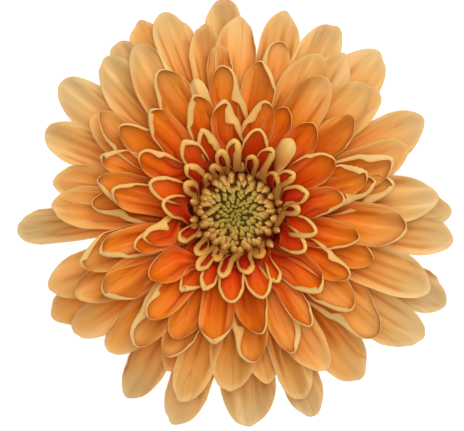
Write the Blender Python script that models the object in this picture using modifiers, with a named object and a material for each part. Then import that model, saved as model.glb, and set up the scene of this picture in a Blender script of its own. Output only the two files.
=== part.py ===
"""A single chrysanthemum bloom, picked, lying face up on its cut stalk.

The bloom radiates from one receptacle. Seven whorls of ray florets leave its flank, the
outermost low and drooping, the innermost steep and rolled. Each ray floret is a strap
that follows a bending line from its claw to its tip. Inside them stand the disc florets,
and two rows of green bracts close the head below. Metres, +Z up.
"""

import math
from dataclasses import dataclass

import bmesh
import bpy
from mathutils import Vector

MM = 0.001
GAP = 0.3 * MM
PETAL_THICKNESS = 0.45 * MM
BRACT_THICKNESS = 0.5 * MM

# The tips reach further on one side, so the bloom's axis stands off the footprint's middle.
AXIS = (0.6 * MM, -0.15 * MM, 0)
STALK_RADIUS = 2.6 * MM
STALK_FLARE = 3.0 * MM
STALK_NECK = 2.4 * MM
STALK_TOP = 4.3 * MM
FLANK_GAP = 0.35 * MM
CROWN_RADIUS = 7.1 * MM
CROWN_HEIGHT = 15.2 * MM
CROWN_DROP = 0.5 * MM
# The underside of the receptacle, radius and height, which the cups below it follow.
UNDERSIDE = ((9.5 * MM, 7.2 * MM), (6.3 * MM, 5.95 * MM), (3.0 * MM, 4.9 * MM))

# Neighbours in a whorl stand on two tiers. The separate rays overlap without touching, so
# their upper tier stands clear of the lower one: a share of the way to the next whorl.
SEPARATE_TIER = 0.42
SEPARATE_STEP = 0.45 * MM
JOINED_TIER = 0.22
CLAW_OF_PITCH = 0.66
CLAW_OF_WIDTH = 0.34
WIDEST_AT = 0.62
TIP_ROUNDS_FROM = 0.74
TIP_SHARE = 0.34
ROW_POWER = 1.5
BEND_POWER = 1.15
LINE_STEPS = 24
# Segments across and along: the straps in a joined whorl are the plainer ones.
JOINED_GRID = (2, 4)
SEPARATE_GRID = (4, 5)
# The collar that a joined whorl's claws stand in: its height, its wall, and how far its
# inner face lies inside the claws. It has a facet or two for each claw.
COLLAR_HEIGHT = 0.6 * MM
COLLAR_WALL = 0.6 * MM
COLLAR_INSET = 0.05 * MM
COLLAR_SLANT = 0.1 * MM
LEAST_FACETS = 16


@dataclass(frozen=True)
class Whorl:
    """One ring of ray florets. Lengths are in millimetres and angles in degrees.

    rise and fall are the slopes at the claw and at the nominal reach, and lift is how far
    the strap's edges stand above its middle. rays are (tip azimuth, reach, width share).
    """

    name: str
    claw_radius: float
    claw_height: float
    rise: float
    fall: float
    reach: float
    width: float
    lift: float
    joined: bool
    rays: tuple


OUTER = Whorl(
    "ray_floret_outer", 10.4, 7.6, 17, -36, 45.0, 9.3, 0.6, False,
    (
        (0.5, 45.0, 1), (26, 44.0, 1), (48.3, 45.0, 1), (63.5, 44.7, 1), (77, 43.2, 1),
        (94, 45.5, 1), (110, 44.8, 0.9), (118, 45.1, 0.9), (125.5, 44.0, 0.9),
        (132, 42.8, 1), (144, 46.0, 1), (157.5, 44.0, 1), (185.5, 46.8, 1),
        (202.5, 42.5, 0.9), (209.5, 44.7, 0.9), (217, 42.7, 0.9), (239.5, 45.1, 1),
        (253, 46.5, 1), (273, 45.1, 1), (289.5, 45.8, 1), (307, 43.5, 1),
        (325, 47.2, 1), (336.5, 47.9, 1), (353, 45.8, 1),
    ),
)
SECOND = Whorl(
    "ray_floret_second", 10.2, 8.9, 27, -23, 39.0, 9.2, 0.7, False,
    (
        (4.5, 42.0, 1), (20, 38.3, 1), (41, 39.2, 0.9), (45.5, 38.0, 1.1), (55, 40.0, 0.9),
        (63.5, 37.4, 1), (74, 36.8, 0.9), (89.5, 41.3, 0.9), (96.5, 35.6, 0.7),
        (101, 40.0, 0.8), (123.5, 40.7, 1), (147, 36.4, 1), (170, 38.9, 0.9),
        (177, 38.7, 0.9), (207.5, 37.8, 1), (228, 39.6, 1), (246, 36.3, 0.9),
        (254, 41.3, 0.9), (268.5, 37.6, 1.1), (280, 36.4, 0.9), (289.5, 41.4, 0.9),
        (298.5, 38.0, 1), (320.5, 38.8, 1.1), (339, 43.2, 1),
    ),
)
THIRD = Whorl(
    "ray_whorl_third", 10.0, 10.1, 37, -9, 32.5, 8.0, 0.9, True,
    (
        (12, 33.4, 0.9), (16, 34.6, 1), (38, 31.6, 1), (57.5, 33.9, 1), (80, 31.8, 1),
        (95.5, 31.2, 1), (117, 33.8, 1), (142, 30.8, 0.9), (145, 34.9, 1),
        (156.5, 30.9, 0.7), (168, 29.9, 1), (175, 30.7, 0.9), (196.5, 34.0, 1),
        (212.5, 32.7, 1), (234, 34.6, 1), (243.5, 29.8, 0.9), (245, 33.3, 1),
        (278, 31.6, 1), (293, 31.4, 1), (321.5, 31.5, 1), (341, 30.2, 1), (355, 35.5, 1),
    ),
)
FOURTH = Whorl(
    "ray_whorl_fourth", 9.7, 11.2, 46, 5, 27.5, 7.0, 1.0, True,
    (
        (13, 29.5, 0.9), (17, 28.4, 1), (48, 25.1, 1), (65, 24.9, 1), (75, 24.3, 0.9),
        (107, 29.1, 0.9), (112, 26.3, 1), (130, 28.1, 1), (170, 27.0, 1), (197, 29.8, 1),
        (232, 28.9, 1), (260.5, 28.1, 1), (280.5, 26.4, 1), (303, 28.6, 0.7),
        (316, 24.7, 1), (328, 27.5, 0.9), (347, 26.5, 1),
    ),
)
FIFTH = Whorl(
    "ray_whorl_fifth", 9.3, 12.2, 54, 18, 22.5, 6.2, 1.2, True,
    (
        (8, 22.8, 1), (30, 23.1, 1), (97.5, 23.4, 1), (150.5, 23.7, 1), (195, 20.5, 0.9),
        (198.5, 22.5, 0.9), (218, 22.9, 1.1), (236.5, 20.3, 0.8),
    ),
)
SIXTH = Whorl(
    "ray_whorl_sixth", 8.9, 13.2, 62, 30, 18.2, 4.6, 1.1, True,
    (
        (55, 18.4, 1), (75.5, 18.7, 1), (116.5, 19.3, 0.9), (126, 19.1, 1), (162.5, 19.8, 1),
        (173.5, 16.4, 1), (246.5, 18.1, 1), (267.5, 19.4, 1), (287.5, 19.3, 1),
        (301.6, 17.3, 0.7), (331, 17.1, 1), (346, 17.8, 1),
    ),
)
INNERMOST = Whorl(
    "ray_whorl_innermost", 8.3, 14.15, 70, 43, 13.6, 3.0, 0.8, True,
    (
        (3, 13.7, 1), (14.3, 15.8, 1.2), (35.6, 14.9, 1), (45, 12.0, 1), (63, 15.7, 1.1),
        (74.4, 12.9, 1), (93, 15.6, 1), (105, 13.9, 1), (117.8, 11.6, 1), (132, 10.8, 1),
        (139.2, 14.7, 1), (151.4, 12.9, 1), (204.4, 13.7, 1), (228, 12.8, 1), (236, 15.0, 1),
        (247, 11.6, 1), (256.6, 14.5, 1), (280, 13.4, 1.1), (299, 11.4, 1),
    ),
)
# No rays stand here: its slopes only bound the upper tier of the innermost whorl.
OPEN_CENTRE = Whorl("open_centre", 7.6, 14.7, 77, 55, 10.0, 2.0, 0.8, True, ())
WHORLS = (OUTER, SECOND, THIRD, FOURTH, FIFTH, SIXTH, INNERMOST, OPEN_CENTRE)


@dataclass(frozen=True)
class BractRow:
    """A row of bracts on its own cup. Lengths are in metres and angles in degrees.

    drop is how far the cup lies under the receptacle, inner and rim are the cup's radii,
    and slope is the rise of each bract.
    """

    name: str
    count: int
    drop: float
    inner: float
    rim: float
    length: float
    width: float
    slope: float
    turn: float


BRACT_ROWS = (
    BractRow(
        "involucre_inner_bracts", count=15, drop=GAP, inner=5.4 * MM, rim=9.8 * MM,
        length=5.4 * MM, width=4.0 * MM, slope=13, turn=0,
    ),
    BractRow(
        "involucre_outer_bracts", count=13, drop=1.15 * MM, inner=3.7 * MM, rim=8.3 * MM,
        length=5.2 * MM, width=3.8 * MM, slope=16, turn=12,
    ),
)
CUP_WALL = 0.5 * MM
BRACT_ROOT = 0.8 * MM
BRACT_CLAW = 0.75
BRACT_CURL = -0.3 * MM

# The disc florets stand on a spiral, short and upright inside, long and leaning outside.
BUD_COUNT = 50
BUD_SPREAD = 7.1 * MM
BUD_LENGTHS = (3.0 * MM, 5.2 * MM)
BUD_RADII = (0.55 * MM, 0.90 * MM)
BUD_LEAN = math.radians(24)
GOLDEN_ANGLE = math.radians(137.508)
PLATE_WALL = 0.8 * MM


def clear_scene():
    for obj in list(bpy.data.objects):
        bpy.data.objects.remove(obj, do_unlink=True)


def new_collection(name, parent, hidden=False):
    collection = bpy.data.collections.new(name)
    collection.hide_render = hidden
    parent.children.link(collection)
    return collection


def principled(name, colour, roughness):
    material = bpy.data.materials.new(name)
    material.use_nodes = True
    shader = material.node_tree.nodes["Principled BSDF"]
    shader.inputs["Base Color"].default_value = (*colour, 1.0)
    shader.inputs["Roughness"].default_value = roughness
    shader.inputs["Metallic"].default_value = 0.0
    return material


def add_object(name, bm, collection, material):
    mesh = bpy.data.meshes.new(name)
    bm.to_mesh(mesh)
    bm.free()
    mesh.shade_smooth()
    mesh.materials.append(material)
    obj = bpy.data.objects.new(name, mesh)
    collection.objects.link(obj)
    return obj


def add_thickness(obj, thickness):
    modifier = obj.modifiers.new("Thickness", "SOLIDIFY")
    modifier.thickness = thickness
    modifier.offset = 0.0


def turned(name, profile, collection, material, steps):
    """A solid of revolution, whose profile of (radius, height) runs down its outer side."""
    bm = bmesh.new()
    verts = [bm.verts.new((radius, 0, height)) for radius, height in profile]
    for first, second in zip(verts, verts[1:]):
        bm.edges.new((first, second))
    obj = add_object(name, bm, collection, material)
    modifier = obj.modifiers.new("Turn", "SCREW")
    modifier.angle = math.tau
    modifier.steps = modifier.render_steps = steps
    modifier.use_merge_vertices = True
    modifier.merge_threshold = 0.00001
    return obj


def join_pieces(base, pieces, cutters):
    """Joins the pieces to the base in one body. The pieces stay as hidden guides."""
    group = new_collection(base.name + "_pieces", cutters, hidden=True)
    for piece in pieces:
        cutters.objects.unlink(piece)
        group.objects.link(piece)
        piece.hide_render = True
        piece.display_type = "WIRE"
    modifier = base.modifiers.new("Join", "BOOLEAN")
    modifier.operation = "UNION"
    modifier.operand_type = "COLLECTION"
    modifier.collection = group
    modifier.solver = "EXACT"


# ---- the strap that rays and bracts share ------------------------------------------------


def smooth(value):
    value = min(max(value, 0.0), 1.0)
    return value * value * (3 - 2 * value)


def slopes_of(whorl, tier):
    """The slopes at the claw and at the nominal reach. A higher tier nears the next whorl."""
    above = WHORLS[WHORLS.index(whorl) + 1]
    share = tier * (JOINED_TIER if whorl.joined else SEPARATE_TIER)
    rise = whorl.rise + (above.rise - whorl.rise) * share
    fall = whorl.fall + (above.fall - whorl.fall) * share
    return math.radians(rise), math.radians(fall)


def ray_line(whorl, reach, tier):
    """Points (radius, height) from claw to tip, on the line that rays of this tier share."""
    rise, fall = slopes_of(whorl, tier)

    def slope(step):
        return rise + (fall - rise) * ((step + 0.5) / LINE_STEPS) ** BEND_POWER

    run = (whorl.reach - whorl.claw_radius) * MM
    stride = run / sum(math.cos(slope(step)) for step in range(LINE_STEPS))
    step_up = 0 if whorl.joined else tier * SEPARATE_STEP
    line = [(whorl.claw_radius * MM, whorl.claw_height * MM + step_up)]
    while line[-1][0] < reach * MM:
        radius, height = line[-1]
        angle = slope(len(line) - 1)
        line.append((radius + stride * math.cos(angle), height + stride * math.sin(angle)))
    (near, low), (far, high) = line[-2:]
    part = (reach * MM - near) / (far - near)
    line[-1] = (reach * MM, low + (high - low) * part)
    return line


def along(line, part):
    """The point at this share of the line, and the line's unit direction there."""
    place = part * (len(line) - 1)
    index = min(int(place), len(line) - 2)
    start, end = Vector(line[index]), Vector(line[index + 1])
    return start.lerp(end, place - index), (end - start).normalized()


def width_share(part, claw):
    """The strap's width: a narrow claw, the widest part past the middle, and a round tip."""
    share = claw + (1 - claw) * smooth(part / WIDEST_AT)
    past = (part - TIP_ROUNDS_FROM) / (1 - TIP_ROUNDS_FROM)
    return share * (max(math.sqrt(1 - past * past), TIP_SHARE) if past > 0 else 1)


def bend_strap(bm, line, width, claw, lift, claw_azimuth, tip_azimuth):
    """Bends a flat unit grid, whose Y runs from claw to tip, into a cupped strap."""
    for vert in bm.verts:
        across = vert.co.x * 2
        part = 1 - (0.5 - vert.co.y) ** ROW_POWER
        centre, slope = along(line, part)
        raised = lift * across * across * smooth(part * 2)
        azimuth = claw_azimuth + (tip_azimuth - claw_azimuth) * part
        outward = Vector((math.cos(azimuth), math.sin(azimuth), 0))
        sideways = Vector((-outward.y, outward.x, 0))
        side = width / 2 * width_share(part, claw) * across
        vert.co = outward * (centre.x - slope.y * raised) + sideways * side
        vert.co.z = centre.y + slope.x * raised


def ray_strap(whorl, ray):
    """The open surface of one ray floret. A ray is (claw azimuth, tip azimuth, reach, ...)."""
    claw_azimuth, tip_azimuth, reach, share, tier = ray
    pitch = math.tau * whorl.claw_radius / len(whorl.rays)
    width = whorl.width * share
    claw = min(CLAW_OF_PITCH * pitch / width, CLAW_OF_WIDTH)
    bm = bmesh.new()
    columns, rows = JOINED_GRID if whorl.joined else SEPARATE_GRID
    bmesh.ops.create_grid(bm, x_segments=columns, y_segments=rows, size=0.5)
    bend_strap(
        bm, ray_line(whorl, reach, tier), width * MM, claw, whorl.lift * MM,
        math.radians(claw_azimuth), math.radians(tip_azimuth),
    )
    return bm


def spaced_rays(whorl):
    """The rays with their claws spaced evenly round the receptacle, on alternate tiers."""
    pitch = 360 / len(whorl.rays)
    start = sum(ray[0] - index * pitch for index, ray in enumerate(whorl.rays))
    start /= len(whorl.rays)
    return [
        (start + index * pitch, *ray, index % 2) for index, ray in enumerate(whorl.rays)
    ]


# ---- the sub-parts -----------------------------------------------------------------------


def build_stalk(collection, material):
    """The cut end of the stalk, which the bloom stands on."""
    profile = [
        (0, STALK_TOP), (STALK_FLARE, STALK_TOP), (STALK_RADIUS, STALK_NECK), (STALK_RADIUS, 0), (0, 0)
    ]
    turned("peduncle_stub", profile, collection, material, steps=16)


def build_receptacle(collection, material):
    """The fleshy head that every floret stands on: a low crown, a flank and an underside."""
    flank = [
        (whorl.claw_radius * MM - FLANK_GAP, whorl.claw_height * MM) for whorl in reversed(WHORLS)
    ]
    turns = [math.radians(22.5 * step) for step in range(4)]
    crown = [
        (CROWN_RADIUS * math.sin(turn), CROWN_HEIGHT - CROWN_DROP * (1 - math.cos(turn)))
        for turn in turns
    ]
    foot = (0, STALK_TOP + GAP)
    turned("receptacle", crown + flank + list(UNDERSIDE) + [foot], collection, material, steps=20)


def build_separate_rays(whorl, collection, material):
    """The broad outer rays, each a piece of its own."""
    for index, ray in enumerate(spaced_rays(whorl), start=1):
        name = f"{whorl.name}_{index:02d}"
        obj = add_object(name, ray_strap(whorl, ray), collection, material)
        add_thickness(obj, PETAL_THICKNESS)


def build_joined_whorl(whorl, collection, cutters, material):
    """A whorl of smaller rays, whose claws stand in one thin collar round the receptacle."""
    radius, height = whorl.claw_radius * MM, whorl.claw_height * MM
    inside, top, bottom = radius - COLLAR_INSET, height + COLLAR_HEIGHT / 2, height - COLLAR_HEIGHT / 2
    collar = [
        (inside, top),
        (inside + COLLAR_WALL, top),
        (inside + COLLAR_WALL + COLLAR_SLANT, bottom + COLLAR_SLANT),
        (inside + COLLAR_SLANT, bottom),
        (inside, top),
    ]
    rays = spaced_rays(whorl)
    facets = len(rays) * math.ceil(LEAST_FACETS / len(rays))
    base = turned(whorl.name, collar, collection, material, steps=facets)
    base.rotation_euler.z = math.radians(rays[0][0]) + math.pi / facets
    pieces = []
    for index, ray in enumerate(rays, start=1):
        name = f"{whorl.name}_ray_{index:02d}"
        pieces.append(add_object(name, ray_strap(whorl, ray), cutters, material))
        add_thickness(pieces[-1], PETAL_THICKNESS)
    join_pieces(base, pieces, cutters)


def underside(radius):
    """The height of the receptacle's underside at this radius."""
    (rim, high), (middle, mid), (throat, low) = UNDERSIDE
    if radius > middle:
        return mid + (high - mid) * (radius - middle) / (rim - middle)
    return low + (mid - low) * (radius - throat) / (middle - throat)


def build_bracts(row, collection, cutters, material):
    """One row of green bracts, on its own thin cup under the receptacle."""
    radii = (row.inner, UNDERSIDE[1][0], row.rim)
    top = [(radius, underside(radius) - row.drop) for radius in radii]
    bottom = [(radius, height - CUP_WALL) for radius, height in reversed(top)]
    base = turned(row.name, top + bottom + top[:1], collection, material, steps=row.count)
    slope = math.radians(row.slope)
    foot = row.rim - BRACT_ROOT
    height = underside(foot) - row.drop - CUP_WALL / 2
    reach = (0, row.length / 2, row.length)
    line = [(foot + part * math.cos(slope), height + part * math.sin(slope)) for part in reach]
    pieces = []
    for index in range(row.count):
        azimuth = math.radians(row.turn + index * 360 / row.count)
        bm = bmesh.new()
        bmesh.ops.create_grid(bm, x_segments=2, y_segments=2, size=0.5)
        bend_strap(bm, line, row.width, BRACT_CLAW, BRACT_CURL, azimuth, azimuth)
        pieces.append(add_object(f"{row.name}_{index + 1:02d}", bm, cutters, material))
        add_thickness(pieces[-1], BRACT_THICKNESS)
    join_pieces(base, pieces, cutters)


def crown_cover(radius):
    """The height just above the crown, where the plates under the disc florets lie."""
    return CROWN_HEIGHT + GAP - CROWN_DROP * (radius / CROWN_RADIUS) ** 2


def bud(name, index, cutters, material):
    """One disc floret: a closed bud that leans outwards more the further out it stands."""
    share = math.sqrt((index + 0.5) / BUD_COUNT)
    length = BUD_LENGTHS[0] + (BUD_LENGTHS[1] - BUD_LENGTHS[0]) * share
    thick = BUD_RADII[0] + (BUD_RADII[1] - BUD_RADII[0]) * share
    lean = BUD_LEAN * share
    azimuth = index * GOLDEN_ANGLE
    outward = Vector((math.cos(azimuth), math.sin(azimuth), 0))
    radius = (BUD_SPREAD - thick) * share
    foot = outward * radius + Vector((0, 0, crown_cover(radius) + 0.2 * MM))
    turn = (outward * math.sin(lean) + Vector((0, 0, math.cos(lean)))).to_track_quat("Z", "Y")
    bm = bmesh.new()
    bmesh.ops.create_icosphere(bm, subdivisions=1, radius=1.0)
    for vert in bm.verts:
        local = Vector((vert.co.x * thick, vert.co.y * thick, (vert.co.z + 1) * length / 2))
        vert.co = foot + turn @ local
    return add_object(name, bm, cutters, material)


def build_disc(collection, cutters, material):
    """The disc florets, which stand together on a thin plate over the crown."""
    radii = (0, CROWN_RADIUS / 2, CROWN_RADIUS)
    top = [(radius, crown_cover(radius) + PLATE_WALL) for radius in radii]
    bottom = [(radius, crown_cover(radius)) for radius in reversed(radii)]
    base = turned("disc_florets", top + bottom, collection, material, steps=16)
    pieces = [bud(f"disc_floret_{index:02d}", index, cutters, material) for index in range(BUD_COUNT)]
    join_pieces(base, pieces, cutters)


def stand_on_axis(collections):
    """Parents every piece to one empty on the bloom's axis."""
    axis = bpy.data.objects.new("bloom_axis", None)
    bpy.context.scene.collection.objects.link(axis)
    axis.location = AXIS
    for collection in collections:
        for obj in collection.all_objects:
            obj.parent = axis


def main():
    clear_scene()
    scene = bpy.context.scene.collection
    bloom = new_collection("chrysanthemum", scene)
    cutters = new_collection("joined_pieces", scene, hidden=True)
    outer = principled("outer_ray_floret", (0.72, 0.30, 0.07), 0.55)
    inner = principled("inner_ray_floret", (0.62, 0.15, 0.02), 0.5)
    disc = principled("disc_floret", (0.60, 0.40, 0.12), 0.6)
    green = principled("bract", (0.14, 0.24, 0.06), 0.6)
    stalk = principled("stalk", (0.20, 0.30, 0.09), 0.65)

    build_stalk(bloom, stalk)
    build_receptacle(bloom, stalk)
    for row in BRACT_ROWS:
        build_bracts(row, bloom, cutters, green)
    for whorl in (OUTER, SECOND):
        build_separate_rays(whorl, bloom, outer)
    for whorl in (THIRD, FOURTH, FIFTH, SIXTH, INNERMOST):
        build_joined_whorl(whorl, bloom, cutters, inner)
    build_disc(bloom, cutters, disc)
    stand_on_axis((bloom, cutters))


main()
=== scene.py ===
"""The looks of a single chrysanthemum bloom that lies face up on its cut stalk.

Every ray floret is a thin blade of its own: a flat grid whose margins roll over, so that
the pale reverse shows along them, which is then bent along the line that its whorl
follows from the claw to the tip. The disc florets, the involucre, the receptacle and the
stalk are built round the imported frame's own boxes. Metres, +Z up.
"""

import logging
import math
from dataclasses import dataclass
from enum import Enum
from typing import Mapping, Optional, Sequence

import bmesh
import bpy
import numpy as np
from mathutils import Matrix, Vector


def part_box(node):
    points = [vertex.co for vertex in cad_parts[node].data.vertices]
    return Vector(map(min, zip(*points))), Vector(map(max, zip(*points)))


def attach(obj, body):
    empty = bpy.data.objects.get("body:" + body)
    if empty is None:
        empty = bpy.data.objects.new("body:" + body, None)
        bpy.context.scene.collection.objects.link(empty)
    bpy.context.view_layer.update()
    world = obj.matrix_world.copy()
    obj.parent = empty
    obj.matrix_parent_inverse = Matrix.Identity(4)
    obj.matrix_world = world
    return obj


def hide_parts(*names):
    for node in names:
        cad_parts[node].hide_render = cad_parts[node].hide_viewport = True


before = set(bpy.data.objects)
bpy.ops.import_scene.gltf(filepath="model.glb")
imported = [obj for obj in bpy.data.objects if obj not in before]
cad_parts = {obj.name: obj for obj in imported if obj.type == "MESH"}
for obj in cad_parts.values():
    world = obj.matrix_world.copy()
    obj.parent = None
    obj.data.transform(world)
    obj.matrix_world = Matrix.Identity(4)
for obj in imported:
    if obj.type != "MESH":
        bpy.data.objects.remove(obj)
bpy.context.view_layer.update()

log = logging.getLogger("chrysanthemum")

Array = np.ndarray
BMesh = bmesh.types.BMesh
Triple = tuple[float, float, float]
Draw = np.random.Generator
Material = bpy.types.Material
Node = bpy.types.Node
Object = bpy.types.Object
Pair = tuple[float, float]
Socket = bpy.types.NodeSocket
Sockets = Mapping[str, Socket]
Stops = Sequence[tuple[float, str]]
Tree = bpy.types.NodeTree

MM = 0.001
BODY = "root"
GOLDEN_ANGLE = math.radians(137.508)
# Colours run from the axis outwards over this radius, in millimetres.
SPREAD_MM = 46.6
AXIS = sum(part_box("receptacle"), Vector()) / 2
# Takes millimetres about the bloom's axis to metres in the frame.
TO_AXIS = Matrix.Translation((AXIS.x, AXIS.y, 0)) @ Matrix.Scale(MM, 4)


def linear(code: str) -> Triple:
    """Turns a written colour into the scene's linear values.

    Args:
        code: Six hexadecimal digits, red first.

    Returns:
        Linear red, green and blue.
    """
    parts = [int(code[at : at + 2], 16) / 255 for at in (0, 2, 4)]
    return tuple(p / 12.92 if p <= 0.04045 else ((p + 0.055) / 1.055) ** 2.4 for p in parts)


def smooth(value: Array | float) -> Array | float:
    """Eases a share from 0 to 1, and holds it outside that range."""
    value = np.clip(value, 0.0, 1.0)
    return value * value * (3 - 2 * value)


# ---- node trees --------------------------------------------------------------------------


class Graph:
    """A node tree with short ways to add and join its nodes.

    A source is what can feed an input: an output socket, a number, a colour or a vector.
    """

    def __init__(self, tree: Tree) -> None:
        """Keeps the tree that the nodes go into."""
        self.tree = tree

    def add(self, kind: str, **settings: object) -> Node:
        """Adds a node.

        Args:
            kind: The node's Blender type.
            settings: Values for the node's own properties.

        Returns:
            The new node.
        """
        node = self.tree.nodes.new(kind)
        for name, value in settings.items():
            setattr(node, name, value)
        return node

    def feed(self, socket: Socket, source: object) -> None:
        """Joins a source to a socket, or sets the socket where it is a plain value.

        Args:
            socket: The input to fill.
            source: What feeds it.
        """
        if isinstance(source, Socket):
            self.tree.links.new(source, socket)
        elif isinstance(source, tuple) and socket.type == "RGBA":
            socket.default_value = (*source, 1.0)
        else:
            socket.default_value = source

    def made(
        self, kind: str, output: int | str, sources: Mapping[int | str, object],
        **settings: object,
    ) -> Socket:
        """Adds a node and feeds it.

        Args:
            kind: The node's Blender type.
            output: The place or name of the output that is wanted.
            sources: What feeds each input, by the input's place or name.
            settings: Values for the node's own properties.

        Returns:
            The output.
        """
        node = self.add(kind, **settings)
        for place, source in sources.items():
            self.feed(node.inputs[place], source)
        return node.outputs[output]

    def math(
        self, operation: str, first: object, second: object = 0.0, clamp: bool = False
    ) -> Socket:
        """Works out one sum of two values, which clamp holds between 0 and 1."""
        sources, settings = {0: first, 1: second}, {"operation": operation, "use_clamp": clamp}
        return self.made("ShaderNodeMath", 0, sources, **settings)

    def sum(self, first: object, second: object) -> Socket:
        """Adds two values."""
        return self.math("ADD", first, second)

    def product(self, first: object, second: object) -> Socket:
        """Multiplies two values."""
        return self.math("MULTIPLY", first, second)

    def most(self, first: object, second: object) -> Socket:
        """The larger of two values."""
        return self.math("MAXIMUM", first, second)

    def swing(self, value: object, size: object) -> Socket:
        """Turns a value from 0 to 1 into a shift about 0, of this size."""
        return self.product(self.math("SUBTRACT", value, 0.5), size)

    def span(
        self, value: object, start: object, end: float, low: float = 0.0, high: float = 1.0
    ) -> Socket:
        """Eases a value that runs from start to end into one that runs from low to high."""
        ends = {"From Min": start, "From Max": end, "To Min": low, "To Max": high}
        ends["Value"] = value
        return self.made("ShaderNodeMapRange", "Result", ends, interpolation_type="SMOOTHSTEP")

    def mix(self, share: object, first: object, second: object, blend: str = "MIX") -> Socket:
        """Mixes a share of the second colour over the first."""
        sources, settings = {0: share, 6: first, 7: second}, {"blend_type": blend}
        return self.made("ShaderNodeMix", 2, sources, data_type="RGBA", **settings)

    def dimmed(self, colour: object, share: object) -> Socket:
        """Multiplies a colour by a value."""
        grey = self.made("ShaderNodeCombineColor", 0, {0: share, 1: share, 2: share})
        return self.mix(1.0, colour, grey, "MULTIPLY")

    def ramp(self, value: object, stops: Stops) -> Socket:
        """Reads a colour from a ramp.

        Args:
            value: The place on the ramp, a source.
            stops: The ramp's places and written colours, in order.

        Returns:
            The colour.
        """
        node = self.add("ShaderNodeValToRGB")
        elements = node.color_ramp.elements
        while len(elements) < len(stops):
            elements.new(1.0)
        for element, (place, code) in zip(elements, stops):
            element.position = place
            element.color = (*linear(code), 1.0)
        self.feed(node.inputs["Fac"], value)
        return node.outputs["Color"]

    def noise(
        self, vector: object, scale: float, detail: float = 3.0, rough: float = 0.55
    ) -> Socket:
        """A noise from 0 to 1 at a vector, where rough is the strength of its finer layers."""
        sources = {"Vector": vector, "Scale": scale, "Detail": detail, "Roughness": rough}
        return self.made("ShaderNodeTexNoise", 0, sources)

    def grain(
        self, vector: object, scale: Triple, detail: float = 3.0, rough: float = 0.55
    ) -> Socket:
        """A noise from 0 to 1 at a vector that is scaled along each axis first."""
        scaled = self.made("ShaderNodeMapping", 0, {"Vector": vector, "Scale": scale})
        return self.noise(scaled, 1.0, detail, rough)

    def parts(self, vector: object) -> Sequence[Socket]:
        """The three parts of a vector."""
        node = self.add("ShaderNodeSeparateXYZ")
        self.feed(node.inputs[0], vector)
        return node.outputs

    def place(self) -> Socket:
        """The place of each point on its object."""
        return self.add("ShaderNodeTexCoord").outputs["Object"]

    def blade(self) -> Socket:
        """The place of each point on its flat blade, across and along, from 0 to 1."""
        return self.add("ShaderNodeUVMap").outputs["UV"]

    def mark(self, name: str) -> Socket:
        """The value that the mesh holds under this name."""
        return self.add("ShaderNodeAttribute", attribute_name=name).outputs["Fac"]


def new_group(
    name: str, inputs: Sequence[str], outputs: Sequence[str]
) -> tuple[Graph, Sockets, Sockets]:
    """Makes an empty shader node group with named sockets.

    Args:
        name: The group's name.
        inputs: The names of the sockets that go in.
        outputs: The names of the sockets that come out.

    Returns:
        The group's graph, its input node's outputs and its output node's inputs.
    """
    kinds = {"Surface": "NodeSocketVector", "Colour": "NodeSocketColor"}
    tree = bpy.data.node_groups.new(name, "ShaderNodeTree")
    for side, names in (("INPUT", inputs), ("OUTPUT", outputs)):
        for socket_name in names:
            kind = kinds.get(socket_name, "NodeSocketFloat")
            tree.interface.new_socket(socket_name, in_out=side, socket_type=kind)
    graph = Graph(tree)
    return graph, graph.add("NodeGroupInput").outputs, graph.add("NodeGroupOutput").inputs


def own_surface(graph: Graph, parts: Sequence[Socket], tone: Socket) -> Socket:
    """Adds a ray's tone to its surface coordinates, so that no two rays share a pattern."""
    sources = {0: parts[0], 1: parts[1], 2: graph.product(tone, 23.0)}
    return graph.made("ShaderNodeCombineXYZ", 0, sources)


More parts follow.
